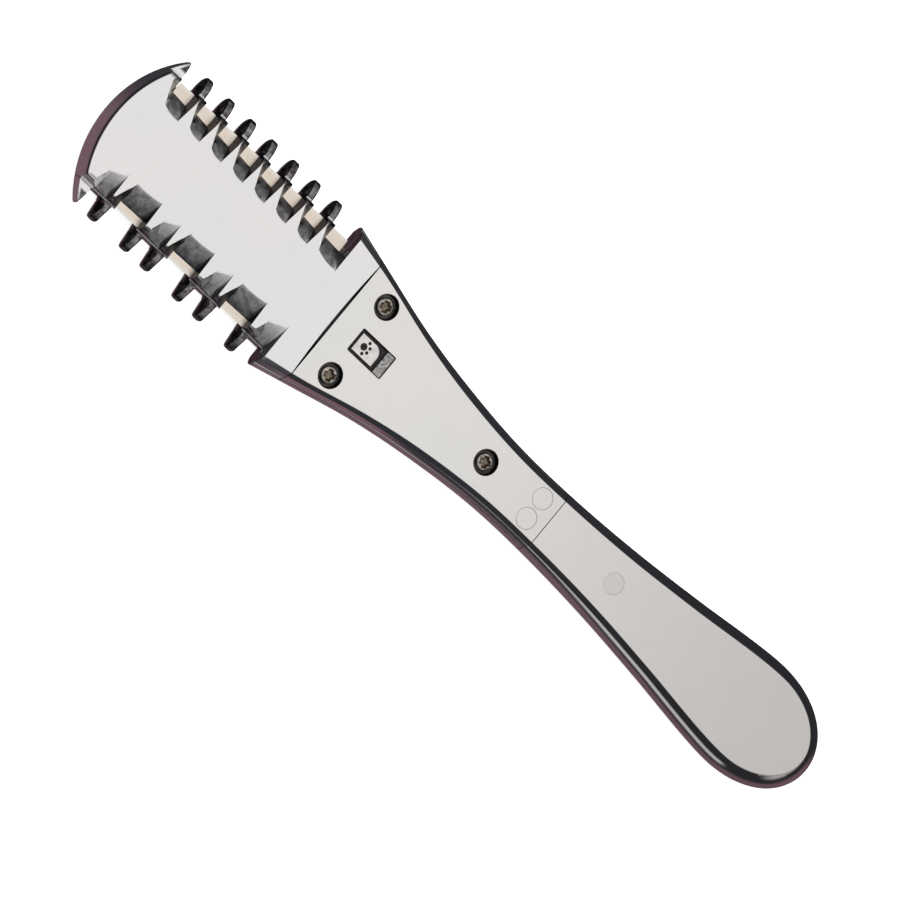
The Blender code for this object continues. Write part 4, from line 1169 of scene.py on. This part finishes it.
def build_world():
    """Studio round the comb: a wide soft box above, dark sides, a thin light strip and a dim
    plum floor bounce below one side, and pale walls at the two ends."""
    world = bpy.data.worlds.new("studio")
    bpy.context.scene.world = world
    world.use_nodes = True
    tree = world.node_tree
    nodes = Nodes(tree)
    background = tree.nodes["Background"]
    place = nodes.new("ShaderNodeTexCoord").outputs["Generated"]
    split = nodes.new("ShaderNodeSeparateXYZ", inputs={"Vector": place})
    x, y, z = split.outputs

    tilt = nodes.math("MULTIPLY_ADD", y, 0.30, z)
    box = nodes.ramp(tilt, 0.62, 0.90)
    haze = nodes.ramp(tilt, 0.10, 0.62, 0.0, 0.55)
    fade = nodes.ramp(x, 0.34, 0.60, 1.0, 0.80)
    light = nodes.math("MULTIPLY", nodes.math("MAXIMUM", box, haze), fade)

    grip_end = nodes.math("MULTIPLY", nodes.ramp(x, 0.80, 0.92), nodes.ramp(z, 0.02, 0.12))
    head_end = nodes.math("MULTIPLY", nodes.ramp(x, 0.02, -0.14), nodes.ramp(z, 0.55, 0.70))
    far_corner = nodes.math("MULTIPLY", nodes.ramp(x, 0.42, 0.55), nodes.ramp(y, -0.25, -0.40))
    far_corner = nodes.math("MULTIPLY", far_corner, nodes.ramp(z, 0.17, 0.25))
    walls = nodes.math("MAXIMUM", nodes.math("MAXIMUM", grip_end, head_end), far_corner)
    walls = nodes.math("MULTIPLY", walls, 0.60)
    light = nodes.math("MAXIMUM", light, walls)
    colour = nodes.mix(light, rgb(0.035, 0.036, 0.042), rgb(1.0, 0.985, 0.97))

    near = nodes.math("MULTIPLY", nodes.ramp(y, -0.45, -0.80), nodes.ramp(x, 0.52, 0.42))
    strip = nodes.math("MULTIPLY", nodes.ramp(z, -0.21, -0.17), nodes.ramp(z, -0.08, -0.12))
    colour = nodes.mix(nodes.math("MULTIPLY", strip, near), colour, rgb(0.75, 0.74, 0.75))

    below = nodes.ramp(z, -0.24, -0.34)
    plum_side = nodes.ramp(y, 0.40, 0.12)
    colour = nodes.mix(nodes.math("MULTIPLY", below, plum_side), colour, rgb(0.205, 0.125, 0.155))
    end_dark = nodes.math("MULTIPLY", nodes.ramp(x, -0.60, -0.80), nodes.ramp(z, 0.0, -0.1))
    colour = nodes.mix(end_dark, colour, rgb(0.03, 0.03, 0.035))

    is_camera = nodes.new("ShaderNodeLightPath").outputs["Is Camera Ray"]
    colour = nodes.mix(is_camera, colour, rgb(1.0, 1.0, 1.0))
    nodes.feed(background.inputs["Color"], colour)


def build_floor():
    """Plain pale floor just under the comb."""
    bm = bmesh.new()
    bmesh.ops.create_grid(bm, x_segments=1, y_segments=1, size=3.0)
    floor = make_mesh_object("floor", bm)
    floor.location = (0.06, 0.0, -0.05 * MM)
    floor.visible_glossy = False
    material, nodes, shader = new_material("pale_floor")
    shader.inputs["Base Color"].default_value = rgb(0.9, 0.9, 0.9)
    shader.inputs["Roughness"].default_value = 0.9
    shader.inputs["Specular IOR Level"].default_value = 0.0
    shader.inputs["Emission Color"].default_value = rgb(1.0, 1.0, 1.0)
    shader.inputs["Emission Strength"].default_value = 0.72
    floor.data.materials.append(material)


def build_key_light():
    data = bpy.data.lights.new("overhead_key", "AREA")
    data.shape = "DISK"
    data.size = 0.6
    data.energy = 3.0
    light = bpy.data.objects.new("overhead_key", data)
    light.location = (0.02, 0.12, 0.8)
    direction = Vector((0.06, 0.0, 0.0)) - light.location
    light.rotation_mode = "QUATERNION"
    light.rotation_quaternion = direction.to_track_quat("-Z", "Y")
    light.visible_glossy = False
    bpy.context.scene.collection.objects.link(light)


def build_camera():
    """Long lens, turned so that the head is at the upper left and the grip at the lower right."""
    data = bpy.data.cameras.new("camera")
    data.sensor_width = 36.0
    data.lens = 1600.0
    data.clip_start, data.clip_end = 0.1, 50.0
    camera = bpy.data.objects.new("camera", data)
    back = Vector((-0.3722, -0.1708, 0.9123)).normalized()
    right = Vector((0.6731, 0.6271, 0.3920))
    right = (right - back * right.dot(back)).normalized()
    up = back.cross(right)
    target = Vector((59.37 * MM, -2.59 * MM, TOP))
    axes = Matrix((right, up, back)).transposed().to_4x4()
    data.shift_x, data.shift_y = -1.2 / 900, 1.2 / 900
    camera.matrix_world = Matrix.Translation(target + back * 6.428) @ axes
    bpy.context.scene.collection.objects.link(camera)
    bpy.context.scene.camera = camera


def build_comb():
    plate = make_satin_chrome("satin_plate", 0.16, (0.995, 1.005, 1.02), head_painted_shade, 0.24)
    handle = make_satin_chrome("satin_handle", 0.18, (0.975, 0.967, 0.963), handle_shade_and_tone, 0.09)
    # Near-black material for the counterbores and the badge recess: painted shade.
    pocket = make_plain_metal("recess_shade_black", (0.05, 0.045, 0.045), (0.02, 0.018, 0.018), 0.45)
    screw = make_plain_metal("screw_head_steel", (0.50, 0.47, 0.43), (0.15, 0.13, 0.11), 0.22)
    # Darker bronze-tinted steel for the inside of the cross recess: painted shade.
    cross_recess_shade = make_plain_metal("screw_cross_recess_shade", (0.34, 0.28, 0.22), (0.10, 0.08, 0.065), 0.35)
    # Washer steel kept very dark: painted shade at the bottom of the counterbore.
    washer = make_plain_metal("shaded_washer_steel", (0.11, 0.105, 0.105), (0.03, 0.03, 0.03), 0.38)
    relief = make_plain_metal("badge_relief", (0.82, 0.80, 0.79), (0.62, 0.61, 0.60), 0.25)
    ground = make_plain_metal("badge_ground", (0.07, 0.065, 0.065), (0.02, 0.02, 0.02), 0.5, 2500.0, 0.8)
    brass = make_plain_metal("turned_brass", (0.80, 0.62, 0.32), (0.66, 0.48, 0.22), 0.30)
    steel = make_plain_metal("rolled_steel", (0.68, 0.67, 0.66), (0.50, 0.49, 0.48), 0.32)

    build_back_comb(plate)
    build_front_comb(plate)
    build_blade(make_blade_steel())
    build_back_cover(handle)
    build_front_cover(handle, pocket)
    build_grip(handle)
    for node in ("neck_pin_left", "neck_pin_right"):
        build_pin(node, handle, PIN_GAP)
    build_pin("grip_pin", make_satin_chrome("satin_pin", 0.20, (0.925, 0.917, 0.913), handle_shade_and_tone, 0.09), GRIP_PIN_GAP)
    for name, x, y in screw_sites():
        build_screw(name, x, y, screw, cross_recess_shade)
        build_washer(name, x, y, washer)
        frame["nodes"]["screw_insert_" + name].data.materials.clear()
        frame["nodes"]["screw_insert_" + name].data.materials.append(brass)
    build_badge(relief, ground, make_plain_metal("badge_strip", (0.62, 0.61, 0.60), (0.16, 0.16, 0.16), 0.45, 2200.0, 1.0))
    frame["nodes"]["handle_tang"].data.materials.clear()
    frame["nodes"]["handle_tang"].data.materials.append(steel)


bpy.context.scene.view_settings.view_transform = "Standard"
build_comb()
build_world()
build_floor()
build_key_light()
build_camera()

bpy.context.view_layer.update()
